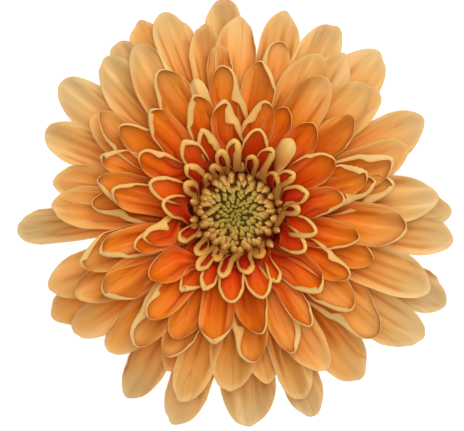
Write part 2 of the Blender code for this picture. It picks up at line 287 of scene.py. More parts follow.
def petal_face_group() -> Tree:
    """Builds the pattern of a ray's coloured face, which all whorls share.

    Returns:
        The node group. It puts out a colour, a roughness and a height.
    """
    names = ("Surface", "Spread", "Margin", "Furrow", "Hood_Shade", "Tone", "Bands", "Veins", "Rim")
    graph, given, made = new_group("petal_face", names, ("Colour", "Roughness", "Height"))
    parts = graph.parts(given["Surface"])
    across = graph.math("ABSOLUTE", graph.math("SUBTRACT", graph.product(parts[0], 2.0), 1.0))
    surface = own_surface(graph, parts, given["Tone"])

    cloud = graph.grain(surface, (2.5, 3.0, 1.0), 2.0)
    streak = graph.grain(surface, (9.0, 1.3, 1.0), 2.0, 0.5)
    fine = graph.grain(surface, (70.0, 3.0, 1.0), 2.0, 0.5)
    lay = graph.grain(surface, (2.6, 0.7, 1.7), 1.0, 0.4)
    fold = graph.grain(surface, (4.5, 0.8, 1.0), 1.0, 0.4)
    fold = graph.math("ABSOLUTE", graph.math("SUBTRACT", fold, 0.5))
    fold = graph.product(graph.span(fold, 0.028, 0.0), graph.span(cloud, 0.42, 0.60))

    place = graph.sum(given["Spread"], graph.swing(cloud, 0.10))
    place = graph.sum(place, graph.product(given["Tone"], 0.12))
    # The paler bands beside the middle are partly the face's own colour and partly painted light,
    # where the raised sides catch it.
    reach = graph.span(graph.sum(across, graph.swing(streak, 0.55)), 0.30, 0.85)
    reach = graph.product(reach, given["Bands"])
    colour = graph.mix(reach, graph.ramp(place, FACE_CORE), graph.ramp(place, FACE_BAND))

    shade = graph.sum(graph.product(graph.swing(streak, given["Veins"]), 1.5), 1.0)
    colour = graph.dimmed(colour, graph.sum(shade, graph.swing(fine, 0.10)))
    crease_shade = graph.ramp(place, CREASE_SHADE)
    # Painted light and shade: where the lay noise runs one way the face is darkened towards the
    # crease colour, and where it runs the other way, or along streaks, it is lightened, as a
    # channel lit from one side with lit ridges.
    shaded = graph.product(graph.span(lay, 0.48, 0.30), given["Bands"])
    colour = graph.mix(graph.product(shaded, 0.5), colour, crease_shade)
    lit = graph.product(graph.span(streak, 0.52, 0.72), graph.span(cloud, 0.60, 0.42))
    lit = graph.most(lit, graph.span(lay, 0.52, 0.70))
    colour = graph.mix(graph.product(lit, 0.7), colour, graph.ramp(place, FACE_PAINTED_LIGHT))

    # Painted shade: the face darkens towards the crease colour in its furrows, along fine fold
    # lines and just inside a rolled-over margin.
    lines = graph.product(fold, graph.product(given["Veins"], 1.6))
    depth = graph.most(graph.product(given["Furrow"], 0.8), lines)
    depth = graph.most(depth, graph.product(given["Hood_Shade"], 0.75))
    colour = graph.mix(depth, colour, crease_shade)
    width = graph.span(given["Spread"], 0.45, 0.85, 0.12, 0.34)
    edge = graph.product(graph.span(given["Margin"], width, 0.0), given["Rim"])
    edge = graph.product(edge, graph.math("SUBTRACT", 1.0, given["Hood_Shade"]))
    colour = graph.mix(edge, colour, graph.ramp(given["Spread"], REVERSE))

    height = graph.sum(streak, graph.product(fine, 0.4))
    height = graph.math("SUBTRACT", height, graph.product(fold, 1.2))
    graph.feed(made["Colour"], colour)
    graph.feed(made["Roughness"], graph.span(streak, 0.3, 0.7, 0.46, 0.60))
    graph.feed(made["Height"], height)
    return graph.tree


def petal_reverse_group() -> Tree:
    """Builds the pattern of a ray's pale reverse.

    Returns:
        The node group. It puts out a colour and a height.
    """
    names = ("Surface", "Spread", "Margin", "Flap", "Tone", "Warmth")
    graph, given, made = new_group("petal_reverse", names, ("Colour", "Height"))
    parts = graph.parts(given["Surface"])
    surface = own_surface(graph, parts, given["Tone"])
    streak = graph.grain(surface, (22.0, 1.4, 1.0), 4.0, 0.6)
    inside = graph.span(given["Margin"], 0.0, 0.3, 0.4, 1.0)
    share = graph.product(graph.span(parts[1], 0.95, 0.3), inside)
    # Painted shade: towards a rolled margin's free edge, where it tucks in under the fold or closes
    # a quill's slit, the reverse takes more of the darker claw colour.
    share = graph.most(share, graph.product(graph.span(given["Flap"], 0.55, 1.0), 0.6))
    share = graph.math("MULTIPLY", share, given["Warmth"], clamp=True)
    ramps = [graph.ramp(given["Spread"], stops) for stops in (REVERSE, REVERSE_CLAW)]
    shade = graph.sum(graph.swing(streak, 0.3), 1.0)
    graph.feed(made["Colour"], graph.dimmed(graph.mix(share, *ramps), shade))
    graph.feed(made["Height"], streak)
    return graph.tree


def at_radii(*stops: tuple[float, str]) -> Stops:
    """Turns radii from the axis, in millimetres, into places on a colour ramp."""
    return tuple((radius / SPREAD_MM, code) for radius, code in stops)


FACE_CORE = at_radii(
    (8, "8A0C03"), (10.5, "C41E06"), (12.5, "E23C0A"), (15, "EC560C"), (18, "EC6A0E"),
    (22, "EA760E"), (26, "E8861E"), (30, "E4923A"), (34, "E4A454"), (38, "DEAC62"),
    (42, "D5B174"), (46, "D3B682"),
)
FACE_BAND = at_radii(
    (9, "BC3A10"), (12, "DE5E1C"), (16, "EC7A2E"), (21, "F08E3C"), (26, "F0A04C"),
    (32, "EEB466"), (38, "EAC07C"), (44, "E8C88E"),
)
# Colours painted as light on the lit side and the lit ridges of a ray's face.
FACE_PAINTED_LIGHT = at_radii(
    (9, "C84A18"), (13, "E87030"), (20, "F29444"), (28, "F4B060"), (36, "F0C480"), (44, "EED29A"),
)
# Darker colours painted as shade in creases, down one side of a ray and under rolled-over margins.
CREASE_SHADE = at_radii((10, "8E1404"), (18, "B03608"), (26, "AE4C0A"), (34, "B8681C"), (42, "BC7A38"))
REVERSE = at_radii(
    (8, "B87C34"), (10, "DA9E46"), (12.5, "F0B65E"), (15, "F4C26A"), (18, "EEBE6E"),
    (26, "E8BC74"), (34, "EDC882"), (44, "EED096"),
)
REVERSE_CLAW = at_radii(
    (8, "5E1406"), (10.5, "8A3410"), (13, "B86824"), (17, "D48C3C"), (24, "E29A48"), (34, "E8AC62"),
)


def new_material(name: str, roughness: float) -> tuple[Material, Graph, Node]:
    """Makes a material with only a Principled shader.

    Args:
        name: The material's name.
        roughness: The shader's roughness where nothing feeds it.

    Returns:
        The material, its graph and its shader.
    """
    material = bpy.data.materials.new(name)
    material.use_nodes = True
    shader = material.node_tree.nodes["Principled BSDF"]
    shader.inputs["Roughness"].default_value = roughness
    return material, Graph(material.node_tree), shader


def add_bump(graph: Graph, shader: Node, height: Socket, strength: float, depth: float) -> None:
    """Feeds a height to a shader's normal.

    Args:
        graph: The material's graph.
        shader: The shader to feed.
        height: The height.
        strength: How strong the bump is.
        depth: The height's real depth in millimetres.
    """
    sources = {"Strength": strength, "Distance": depth * MM, "Height": height}
    graph.feed(shader.inputs["Normal"], graph.made("ShaderNodeBump", "Normal", sources))


def soften_petal(shader: Node) -> None:
    """Gives a petal's shader its low gloss and lets a little light pass through it."""
    shader.inputs["Specular IOR Level"].default_value = 0.12
    shader.inputs["Subsurface Weight"].default_value = 0.35
    shader.inputs["Subsurface Scale"].default_value = 0.4 * MM
    shader.inputs["Subsurface Radius"].default_value = (1.0, 0.45, 0.12)


def petal_material(
    name: str, roughness: float, group: Tree, values: Mapping[str, float], bump: Pair
) -> Material:
    """Makes a petal's material from a shared pattern.

    Args:
        name: The material's name.
        roughness: Its roughness where the pattern puts out none.
        group: The pattern.
        values: The finish's own values. The mesh's marks feed the pattern's other inputs.
        bump: The bump's strength and its depth in millimetres.

    Returns:
        The new material.
    """
    material, graph, shader = new_material(name, roughness)
    pattern = graph.add("ShaderNodeGroup", node_tree=group)
    for socket in pattern.inputs:
        if socket.name == "Surface":
            graph.feed(socket, graph.blade())
        elif socket.name in values:
            graph.feed(socket, values[socket.name])
        else:
            graph.feed(socket, graph.mark(socket.name.lower()))
    graph.feed(shader.inputs["Base Color"], pattern.outputs["Colour"])
    if "Roughness" in pattern.outputs:
        graph.feed(shader.inputs["Roughness"], pattern.outputs["Roughness"])
    add_bump(graph, shader, pattern.outputs["Height"], *bump)
    soften_petal(shader)
    return material


@dataclass(frozen=True)
class FaceFinish:
    """The face of the rays in one whorl.

    bands is how strong the paler bands beside the middle are, which are partly the face's own
    colour and partly painted light, and how strong the painted shade down one side is; veins how
    strong the lengthwise streaks and the painted shade along fine folds are, and rim how pale the
    margin is.
    """

    name: str
    bands: float
    veins: float
    rim: float
    bump: float

    def material(self, group: Tree) -> Material:
        """Makes the face's material from the shared pattern of ray faces."""
        values = {"Bands": self.bands, "Veins": self.veins, "Rim": self.rim}
        return petal_material(f"ray_face_{self.name}", 0.5, group, values, (self.bump, 0.15))


@dataclass(frozen=True)
class ReverseFinish:
    """The pale reverse of a ray. warmth is how orange it turns towards the claw."""

    name: str
    warmth: float

    def material(self, group: Tree) -> Material:
        """Makes the reverse's material from the shared pattern of ray reverses."""
        values = {"Warmth": self.warmth}
        return petal_material(f"ray_reverse_{self.name}", 0.6, group, values, (0.25, 0.12))


# ---- ray florets -------------------------------------------------------------------------


class Tone(Enum):
    """How far a ray's colour stands from its whorl's, towards brown or towards pale. On some rays
    the brown is painted shade.
    """

    BROWN = -1.0
    WARM = -0.5
    PLAIN = 0.0
    PALE = 0.5


@dataclass(frozen=True)
class Ray:
    """One ray floret. Lengths are in millimetres and angles in degrees.

    azimuth and reach place the tip, and width is the blade's widest part. level lifts it
    from its whorl's lower tier (0) to the upper one (1). left, right and tip are how wide
    the pale reverse shows where that margin rolls over, seen from above, with left the
    side of the greater azimuth. point is 0 for a round tip, 1 for a sharp one and -1 for a
    square one.
    """

    azimuth: float
    reach: float
    width: float
    level: float = 0.0
    left: Optional[float] = None
    right: Optional[float] = None
    tip: Optional[float] = None
    point: Optional[float] = None
    furrows: Optional[int] = None
    notch: float = 0.0
    tilt: float = 0.0
    tone: Tone = Tone.PLAIN


@dataclass(frozen=True)
class Roll:
    """How a margin rolls over: a curl of one radius, and then a straight flap.

    The curl starts from the slope of the wall below it, which each method takes as lean.
    band is the width of reverse that shows.
    """

    radius: float
    turn: float = math.radians(158)
    full_at: float = 0.45

    def angle(self, band: Array, lean: Array) -> Array:
        """The slope at the margin's end."""
        return lean + (self.turn - lean) * smooth(band / self.full_at)

    def strip(self, band: Array, lean: Array) -> Array:
        """The width of blade that the curl and its flap take up."""
        flap = np.maximum(band - self.full_at, 0) / -math.cos(self.turn)
        return self.radius * (self.angle(band, lean) - lean) + flap

    def gain(self, band: Array, lean: Array) -> Array:
        """How much wider the flat blade is than the rolled one."""
        angle = self.angle(band, lean)
        proud = np.where(angle < math.pi / 2, np.sin(angle), 1.0) - np.sin(lean)
        return self.strip(band, lean) - self.radius * proud

    def place(self, run: Array, band: Array, lean: Array) -> tuple[Array, Array]:
        """Where a point of the strip goes.

        Args:
            run: How far the point is from the start of the curl.
            band: The width of reverse that shows there.
            lean: The slope of the wall there.

        Returns:
            How far it goes outwards, and how far up.
        """
        angle = self.angle(band, lean)
        curled = np.minimum(lean + run / self.radius, angle)
        beyond = np.maximum(run - self.radius * (angle - lean), 0)
        outwards = self.radius * (np.sin(curled) - np.sin(lean)) + beyond * np.cos(angle)
        upwards = self.radius * (np.cos(lean) - np.cos(curled)) + beyond * np.sin(angle)
        return outwards, upwards


@dataclass
class RayWhorl:
    """One whorl of ray florets. Lengths are in millimetres and angles in degrees.

    The claw's radius and height, the slopes rise and fall at the claw and at the nominal
    reach, and above, the slopes of the next whorl, are the frame's own. tier is the share
    of the way to the next whorl's slopes that the upper rays take, and step is how much
    higher they start. cup is how far the margins stand above the middle of the blade, and
    hook is how far the tip turns up. groove, ridge and teeth are the depths of furrows,
    of broad folds and of the tip's small notches. bands are a ray's usual left, right and
    tip. Along a side, its band starts and is full at opens and shows only its share
    corner, until it widens at the tip. trim is how far short of its reach a tip is laid.
    """

    name: str
    node: str
    claw_radius: float
    claw_height: float
    rise: float
    fall: float
    reach: float
    above: Pair
    rays: tuple[Ray, ...]
    cup: float
    groove: float
    ridge: float
    bands: Triple = (0.0, 0.0, 1.3)
    hook: float = 0.6
    slot: str = "inner_ray_floret"
    tier: float = 0.45
    step: float = 0.0
    roll: Roll = Roll(0.22)
    opens: Pair = (0.35, 1.0)
    point: float = 0.4
    tip_length: float = 0.68
    teeth: float = 0.05
    furrows: int = 2
    grid: tuple[int, int] = (34, 38)
    corner: float = 0.65
    trim: float = 0.6
    thickness: float = 0.18

    LINE_STEPS = 24
    BEND_POWER = 1.15
    CLAW_OF_PITCH = 0.66
    CLAW_OF_WIDTH = 0.34
    WIDEST_AT = 0.78
    TURNED_BY = 0.55
    # A tip that shows more reverse than this leans to one side, where the band grows by the
    # share SAIL of the tip's. TIP_RANGE is how much such tips differ in one whorl.
    LEAST_TIP = 0.2
    SAIL = 1.2
    TIP_RANGE = (0.45, 1.35)
    SLANT = 0.35
    STEEPEST_WALL = math.radians(62)
    # The grid's lines crowd towards the sides by this share and towards the tip by this
    # power, and its rows bow forwards by the next.
    EDGE_CROWDING = 0.7
    TIP_CROWDING = 1.35
    BOW = 2.6
    TIP_ARC = math.radians(76)
    HOLLOW = 0.85
    HOOK_FROM = 0.62
    WAVE = 0.16
    TILT = 6.0
    SWAY = 0.9
    RIPPLE = 0.03
    # How far in from the margin the finish's marks reach, in millimetres.
    MARGIN_RUN = 4.0
    # How far in the painted shade under a rolled-over margin reaches, in millimetres.
    HOOD_SHADE_RUN = 0.8

    def line(self, ray: Ray) -> tuple[Array, Array, Array]:
        """The line that a ray's middle follows.

        Args:
            ray: The ray.

        Returns:
            Lengths along the line, radii from the axis and heights.
        """
        share = ray.level * self.tier
        rise = math.radians(self.rise + (self.above[0] - self.rise) * share)
        fall = math.radians(self.fall + (self.above[1] - self.fall) * share)
        steps = np.arange(self.LINE_STEPS * 2)
        slopes = rise + (fall - rise) * ((steps + 0.5) / self.LINE_STEPS) ** self.BEND_POWER
        nominal = np.cos(slopes[: self.LINE_STEPS]).sum()
        stride = (self.reach - self.claw_radius) / nominal
        radii = self.claw_radius + stride * np.append(0, np.cumsum(np.cos(slopes)))
        lift = self.claw_height + self.step * ray.level
        heights = lift + stride * np.append(0, np.cumsum(np.sin(slopes)))
        return stride * np.arange(len(radii)), radii, heights

    def claw_azimuth(self, index: int) -> float:
        """The azimuth at which the claw of the ray with this index stands, in degrees."""
        pitch = 360 / len(self.rays)
        tips = [ray.azimuth - place * pitch for place, ray in enumerate(self.rays)]
        return sum(tips) / len(tips) + index * pitch

    def build_ray(self, index: int, ray: Ray) -> Object:
        """Builds one ray.

        Args:
            index: The ray's place in the whorl.
            ray: The ray.

        Returns:
            The ray's object, with its place in its mesh.
        """
        columns, rows = self.grid
        obj = add_piece(f"{self.name}_ray_{index + 1:02d}", flat_grid(columns, rows, flip=True))
        flat = np.empty(len(obj.data.vertices) * 3)
        obj.data.vertices.foreach_get("co", flat)
        flat = flat.reshape(-1, 3)
        order = np.lexsort((flat[:, 0].round(5), flat[:, 1].round(5)))
        shape = (rows + 1, columns + 1)
        across = (flat[order, 0] * 2).reshape(shape)
        along = (flat[order, 1] + 0.5).reshape(shape)
        points, marks = self.shape_blade(index, ray, across, along)
        placed = np.empty_like(flat)
        placed[order] = points.reshape(-1, 3) * MM
        obj.data.vertices.foreach_set("co", placed.ravel())
        for name, values in marks.items():
            ordered = np.empty(len(flat), np.float32)
            ordered[order] = values.ravel()
            layer = obj.data.attributes.new(name, "FLOAT", "POINT")
            layer.data.foreach_set("value", ordered)
        obj.data.update()
        thicken(obj, self.thickness)
        return obj

    def shape_blade(
        self, index: int, ray: Ray, across: Array, along: Array
    ) -> tuple[Array, dict[str, Array]]:
        """Shapes the flat grid into one ray.

        Args:
            index: The ray's place in the whorl.
            ray: The ray.
            across: Each point's place across the grid, from -1 to 1.
            along: Each point's place along it, from 0 at the claw to 1 at the tip.

        Returns:
            The points in millimetres, and the marks that the finish reads.
        """
        seed = 100 * len(self.rays) + index
        draw = np.random.default_rng(1000 + seed)
        bands = self.own_bands(ray, np.random.default_rng(5000 + seed))
        lengths, radii, _ = self.line(ray)
        length = float(np.interp(ray.reach - self.trim, radii, lengths))

        side = (1 - self.EDGE_CROWDING) * across
        side += self.EDGE_CROWDING * np.sin(across * math.pi / 2)
        row = 1 - (1 - along) ** self.TIP_CROWDING
        room = self.HOLLOW * ray.width / 2 * self.widening(ray, row)
        wall = self.cup * ray.width / 8 * smooth((row - 0.2) / 0.6)
        lean = np.minimum(np.arctan2(2 * wall, room), self.STEEPEST_WALL)
        forward, sideways = self.flat_outline(ray, draw, bands, length, side, row, lean)
        slant = self.set_sail(ray, draw, bands)
        margin, push, band = self.margins(forward, sideways, row, bands, slant)
        strip = self.roll.strip(band, lean)
        inwards = np.maximum(margin - strip, 0)
        run = np.maximum(strip - margin, 0)
        outwards, upwards = self.roll.place(run, band, lean)
        share = (forward + push[0] * (outwards - run)) / length
        sideways = sideways + push[1] * (outwards - run)

        furrow = self.furrow_marks(ray, draw, side, row)
        lift = wall * np.clip(1 - inwards / room, 0, 1) ** 2 + upwards
        lift = lift + self.relief(draw, side, share, furrow)
        sideways, lift = self.twist(ray, draw, share, sideways, lift)
        points, radius = self.bend(index, ray, share, length, sideways, lift)
        marks = {
            "spread": np.clip(radius / SPREAD_MM, 0, 1.2),
            "margin": np.clip(inwards / self.MARGIN_RUN, 0, 1),
            "furrow": furrow,
            "flap": smooth(band / 0.3) * np.clip(1 - margin / np.maximum(strip, 0.05), 0, 1),
            # The hood mark is painted shade on the face just inside a rolled-over margin.
            "hood_shade": smooth(band / 0.5) * np.exp(-((inwards / self.HOOD_SHADE_RUN) ** 2)),
            "tone": np.full(across.shape, ray.tone.value + draw.uniform(-0.2, 0.2)),
        }
        return points, marks

    def own_bands(self, ray: Ray, draw: Draw) -> list[float]:
        """The widths of reverse that a ray shows on its left, its right and its tip.

        Args:
            ray: The ray.
            draw: The seeded draw by which tips differ.

        Returns:
            The three widths.
        """
        own = (ray.left, ray.right, ray.tip)
        bands = [usual if given is None else given for given, usual in zip(own, self.bands)]
        if ray.tip is None and self.teeth > 0 and bands[2] > self.LEAST_TIP:
            bands[2] *= draw.uniform(*self.TIP_RANGE)
        return bands

    def relief(self, draw: Draw, side: Array, share: Array, furrow: Array) -> Array:
        """How far the hooked tip, the furrows and the waves lift each point.

        Args:
            draw: The ray's own seeded draw.
            side: Each point's place across, from -1 to 1.
            share: Each point's place along the rolled blade, with 1 at the tip.
            furrow: How deep in a furrow each point lies.

        Returns:
            The lifts.
        """
        hooked = np.clip((share - self.HOOK_FROM) / (1 - self.HOOK_FROM), 0, None)
        wave = np.sin(share * draw.uniform(5, 8) + side * draw.uniform(1, 3) + draw.uniform(0, 6))
        ridge = np.cos(side * draw.uniform(5, 8) + draw.uniform(0, 6) + 1.5 * share)
        waves = (self.WAVE * wave + self.ridge * ridge) * smooth(share * 2 - 0.4)
        return self.hook * hooked**2 - self.groove * furrow + waves

    def twist(
        self, ray: Ray, draw: Draw, share: Array, sideways: Array, lift: Array
    ) -> tuple[Array, Array]:
        """Tilts a blade about its middle line, and sways its middle to one side.

        Args:
            ray: The ray.
            draw: The ray's own seeded draw.
            share: Each point's place along the rolled blade, with 1 at the tip.
            sideways: How far to the left each point lies.
            lift: How far it is lifted.

        Returns:
            How far to the left each point then lies, and how far it is lifted.
        """
        tilt = math.radians(ray.tilt + draw.uniform(-self.TILT, self.TILT)) * smooth(share * 1.6)
        sway = draw.uniform(-self.SWAY, self.SWAY) * (share - share**2) * 2
        turned = sideways * np.cos(tilt) - lift * np.sin(tilt)
        return turned + sway, sideways * np.sin(tilt) + lift * np.cos(tilt)

    def bend(
        self, index: int, ray: Ray, share: Array, length: float, sideways: Array, lift: Array
    ) -> tuple[Array, Array]:
        """Bends a blade along its ray's line, from its claw's azimuth to its tip's.

        Args:
            index: The ray's place in the whorl.
            ray: The ray.
            share: Each point's place along the rolled blade, with 1 at the tip.
            length: The rolled blade's length.
            sideways: How far to the left each point lies.
            lift: How far it is lifted.

        Returns:
            The points in millimetres, and their radii.
        """
        lengths, radii, heights = self.line(ray)
        place = share * length
        radius = np.interp(place, lengths, radii)
        height = np.interp(place, lengths, heights)
        ahead = np.interp(place + 0.2, lengths, radii) - radius
        slope = np.arctan2(np.interp(place + 0.2, lengths, heights) - height, ahead)
        radius = radius + np.minimum(place, 0) - np.sin(slope) * lift
        height = height + np.cos(slope) * lift
        claw = self.claw_azimuth(index)
        turn = (ray.azimuth - claw + 180) % 360 - 180
        azimuth = np.radians(claw + turn * smooth(share / self.TURNED_BY))
        x = radius * np.cos(azimuth) - sideways * np.sin(azimuth) + AXIS.x / MM
        y = radius * np.sin(azimuth) + sideways * np.cos(azimuth) + AXIS.y / MM
        return np.stack((x, y, height), axis=-1), radius

    def set_sail(self, ray: Ray, draw: Draw, bands: list[float]) -> float:
        """Widens the band on the side that a rolled tip leans to.

        Args:
            ray: The ray.
            draw: The ray's own seeded draw.
            bands: The widths of reverse that show on the left, the right and the tip.

        Returns:
            How far the tip's crescent slants to the left.
        """
        slant = draw.uniform(-self.SLANT, self.SLANT)
        if self.teeth == 0:
            return 0.0
        if ray.left is None and ray.right is None and bands[2] > self.LEAST_TIP:
            bands[0 if slant > 0 else 1] += self.SAIL * bands[2]
            return slant
        return math.copysign(slant, bands[0] - bands[1])

    def flat_outline(
        self, ray: Ray, draw: Draw, bands: Sequence[float], length: float, side: Array,
        row: Array, lean: Array,
    ) -> tuple[Array, Array]:
        """Lays the grid out flat. Its rows bow forwards until the last follows the tip.

        Args:
            ray: The ray.
            draw: The ray's own seeded draw.
            bands: The widths of reverse that show on the left, the right and the tip.
            length: The rolled blade's length.
            side: Each point's place across, from -1 to 1.
            row: Each point's place along, from 0 to 1.
            lean: The slope of the wall below the margin.

        Returns:
            How far forwards and how far to the left each point lies.
        """
        left, right, tip = bands
        uneven = self.teeth > 0
        length = length + float(self.roll.gain(np.array(tip), lean[-1, 0]))
        rolled = self.band_along(np.where(side > 0, left, right), row)
        ripple = 1 + self.RIPPLE * smooth(row * 2) * np.where(
            side > 0, np.sin(row * draw.uniform(6, 10) + draw.uniform(0, 6)),
            np.sin(row * draw.uniform(6, 10) + draw.uniform(0, 6)),
        )
        half = ray.width / 2 * self.widening(ray, row) * ripple + self.roll.gain(rolled, lean)
        tip_run = self.tip_length * ray.width * draw.uniform(0.88, 1.12)
        tip_run += float(self.roll.gain(np.array(max(bands)), lean[-1, 0]))
        tip_run = min(tip_run, length * 0.6)
        point = self.point if ray.point is None else ray.point
        point = point + (draw.uniform(-0.15, 0.1) - 0.15 * min(max(bands), 1.2)) * uneven
        apex = side - draw.uniform(-0.14, 0.14) * uneven * (1 - side**2)
        arc = (np.cos(apex * self.TIP_ARC) - math.cos(self.TIP_ARC)) / (1 - math.cos(self.TIP_ARC))
        other = 1 - np.abs(apex) ** (1.5 if point > 0 else 4.0)
        front = (1 - abs(point)) * arc + abs(point) * other
        bow = row**self.BOW
        spread = side * (1 - bow) + np.sin(side * self.TIP_ARC) / math.sin(self.TIP_ARC) * bow
        dent = ray.notch * np.exp(-((side / 0.16) ** 2))
        for _ in range(2):
            place = draw.uniform(-0.6, 0.6)
            dent = dent + self.teeth * draw.uniform(0, 1) * np.exp(-(((side - place) / 0.13) ** 2))
        forward = (length - tip_run) * row + tip_run * bow * front - dent * row**8
        return forward, half * spread

    def widening(self, ray: Ray, row: Array) -> Array:
        """The blade's share of its full width at each row, from the claw outwards."""
        pitch = math.tau * self.claw_radius / len(self.rays)
        claw = min(self.CLAW_OF_PITCH * pitch / ray.width, self.CLAW_OF_WIDTH)
        grown = np.clip(row / self.WIDEST_AT, 0, 1)
        return claw + (1 - claw) * (0.45 * smooth(grown) + 0.55 * np.sin(grown * math.pi / 2))

    def band_along(self, side_band: Array, row: Array) -> Array:
        """The width of reverse that shows along a side: none at the claw, and then all of it."""
        start, full = self.opens
        return side_band * self.corner * smooth((row - start) / (full - start))

    def tip_band(self, bands: Sequence[float], slant: float, columns: int) -> Array:
        """The width of reverse along the tip: a crescent that meets the sides' bands.

        Args:
            bands: The widths of reverse that show on the left, the right and the tip.
            slant: How far the crescent's widest part lies to the left of the tip.
            columns: How many points it has, from the left to the right.

        Returns:
            The widths.
        """
        left, right, tip = bands
        side = np.linspace(1, -1, columns)
        side = side - slant * (1 - side**2)
        along = 1 - np.abs(side)
        flank = np.where(side > 0, left, right)
        corner = self.corner + (1 - self.corner) * smooth(along / 0.35)
        return flank * corner + (tip - flank * corner) * smooth((along - 0.15) / 0.85)

    def margins(
        self, forward: Array, sideways: Array, row: Array, bands: Sequence[float], slant: float
    ) -> tuple[Array, tuple[Array, Array], Array]:
        """Measures each point from the margin.

        Args:
            forward: How far forwards each point lies.
            sideways: How far to the left each point lies.
            row: Each point's place along.
            bands: The widths of reverse that show on the left, the right and the tip.
            slant: How far the tip's crescent leans to the left.

        Returns:
            The distance to the margin, the direction towards it, and the width of reverse
            that shows at the nearest part of it.
        """
        left, right, _ = bands
        tip = self.tip_band(bands, slant, row.shape[1])
        edge = [
            (forward[:, -1], sideways[:, -1], self.band_along(left, row[:, -1])),
            (forward[-1, ::-1], sideways[-1, ::-1], tip),
            (forward[::-1, 0], sideways[::-1, 0], self.band_along(right, row[::-1, 0])),
        ]
        x, y, band = (np.concatenate([part[at] for part in edge]) for at in range(3))
        kept = np.append(True, np.hypot(np.diff(x), np.diff(y)) > 1e-6)
        x, y, band = x[kept], y[kept], band[kept]
        run_x, run_y = np.diff(x), np.diff(y)
        length = np.hypot(run_x, run_y)
        from_x = forward.reshape(-1, 1) - x[:-1]
        from_y = sideways.reshape(-1, 1) - y[:-1]
        part = np.clip((from_x * run_x + from_y * run_y) / length**2, 0, 1)
        distance = np.hypot(from_x - part * run_x, from_y - part * run_y)
        nearest = distance.min(axis=1, keepdims=True)
        weight = np.exp(-(distance - nearest) / 0.4) * length
        push_x = (weight * (-run_y / length)).sum(axis=1)
        push_y = (weight * (run_x / length)).sum(axis=1)
        size = np.maximum(np.hypot(push_x, push_y), 1e-9)
        seen = (weight * ((band[:-1] + band[1:]) / 2)).sum(axis=1) / weight.sum(axis=1)
        shape = forward.shape
        push = ((push_x / size).reshape(shape), (push_y / size).reshape(shape))
        return nearest.reshape(shape), push, seen.reshape(shape)

    def furrow_marks(self, ray: Ray, draw: Draw, side: Array, row: Array) -> Array:
        """How deep in a lengthwise furrow each point lies.

        Args:
            ray: The ray.
            draw: The ray's own seeded draw.
            side: Each point's place across, from -1 to 1.
            row: Each point's place along, from 0 to 1.

        Returns:
            A depth from 0 to 1.
        """
        count = self.furrows if ray.furrows is None else ray.furrows
        depth = np.zeros(side.shape)
        for number in range(count):
            middle = ((number + 0.5) / count * 2 - 1) * 0.8 + draw.uniform(-0.08, 0.08)
            start, end = draw.uniform(0.0, 0.35), draw.uniform(0.8, 1.0)
            width = draw.uniform(0.05, 0.11)
            run = smooth((row - start) / 0.2) * smooth((end - row) / 0.12)
            depth += draw.uniform(0.45, 1.0) * run * np.exp(-(((side - middle) / width) ** 2))
        return np.clip(depth, 0, 1)

    def build(self, face: Material, reverse: Material) -> None:
        """Builds and dresses every ray.

        Args:
            face: The material of the coloured face.
            reverse: The material of the pale reverse.
        """
        for index, ray in enumerate(self.rays):
            node = self.node.format(index + 1)
            install(self.build_ray(index, ray), self.slot, node, face, reverse)


def add_piece(name: str, bm: BMesh) -> Object:
    """Makes an object of a bmesh, smooth shaded, at the origin.

    Args:
        name: The object's name.
        bm: The mesh, which is freed.

    Returns:
        The new object.
    """
    mesh = bpy.data.meshes.new(name)
    bm.to_mesh(mesh)
    bm.free()
    mesh.shade_smooth()
    obj = bpy.data.objects.new(name, mesh)
    bpy.context.scene.collection.objects.link(obj)
    return obj


def flat_grid(columns: int, rows: int, flip: bool = False) -> BMesh:
    """Makes the flat grid that a ray or a bract is shaped from, one unit wide and long.

    Args:
        columns: How many faces lie across it.
        rows: How many faces lie along it.
        flip: Whether its faces are turned over.

    Returns:
        The grid, with its UV map.
    """
    bm = bmesh.new()
    bm.loops.layers.uv.new("UVMap")
    bmesh.ops.create_grid(bm, x_segments=columns, y_segments=rows, size=0.5, calc_uvs=True)
    if flip:
        bmesh.ops.reverse_faces(bm, faces=bm.faces)
    return bm


def thicken(obj: Object, thickness: float, back: int = 1) -> None:
    """Gives a blade its thickness in millimetres, with this material's place on its back."""
    modifier = obj.modifiers.new("Thickness", "SOLIDIFY")
    modifier.thickness = thickness * MM
    modifier.offset = 0.0
    modifier.material_offset = back
    modifier.material_offset_rim = 0


def install(obj: Object, slot: str, node: str, *materials: Material) -> None:
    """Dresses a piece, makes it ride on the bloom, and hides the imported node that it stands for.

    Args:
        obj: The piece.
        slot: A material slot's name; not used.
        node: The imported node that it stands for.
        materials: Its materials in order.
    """
    for material in materials:
        obj.data.materials.append(material)
    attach(obj, BODY)
    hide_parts(node)
    log.info("%s stands for %s, with %d points", obj.name, node, len(obj.data.vertices))


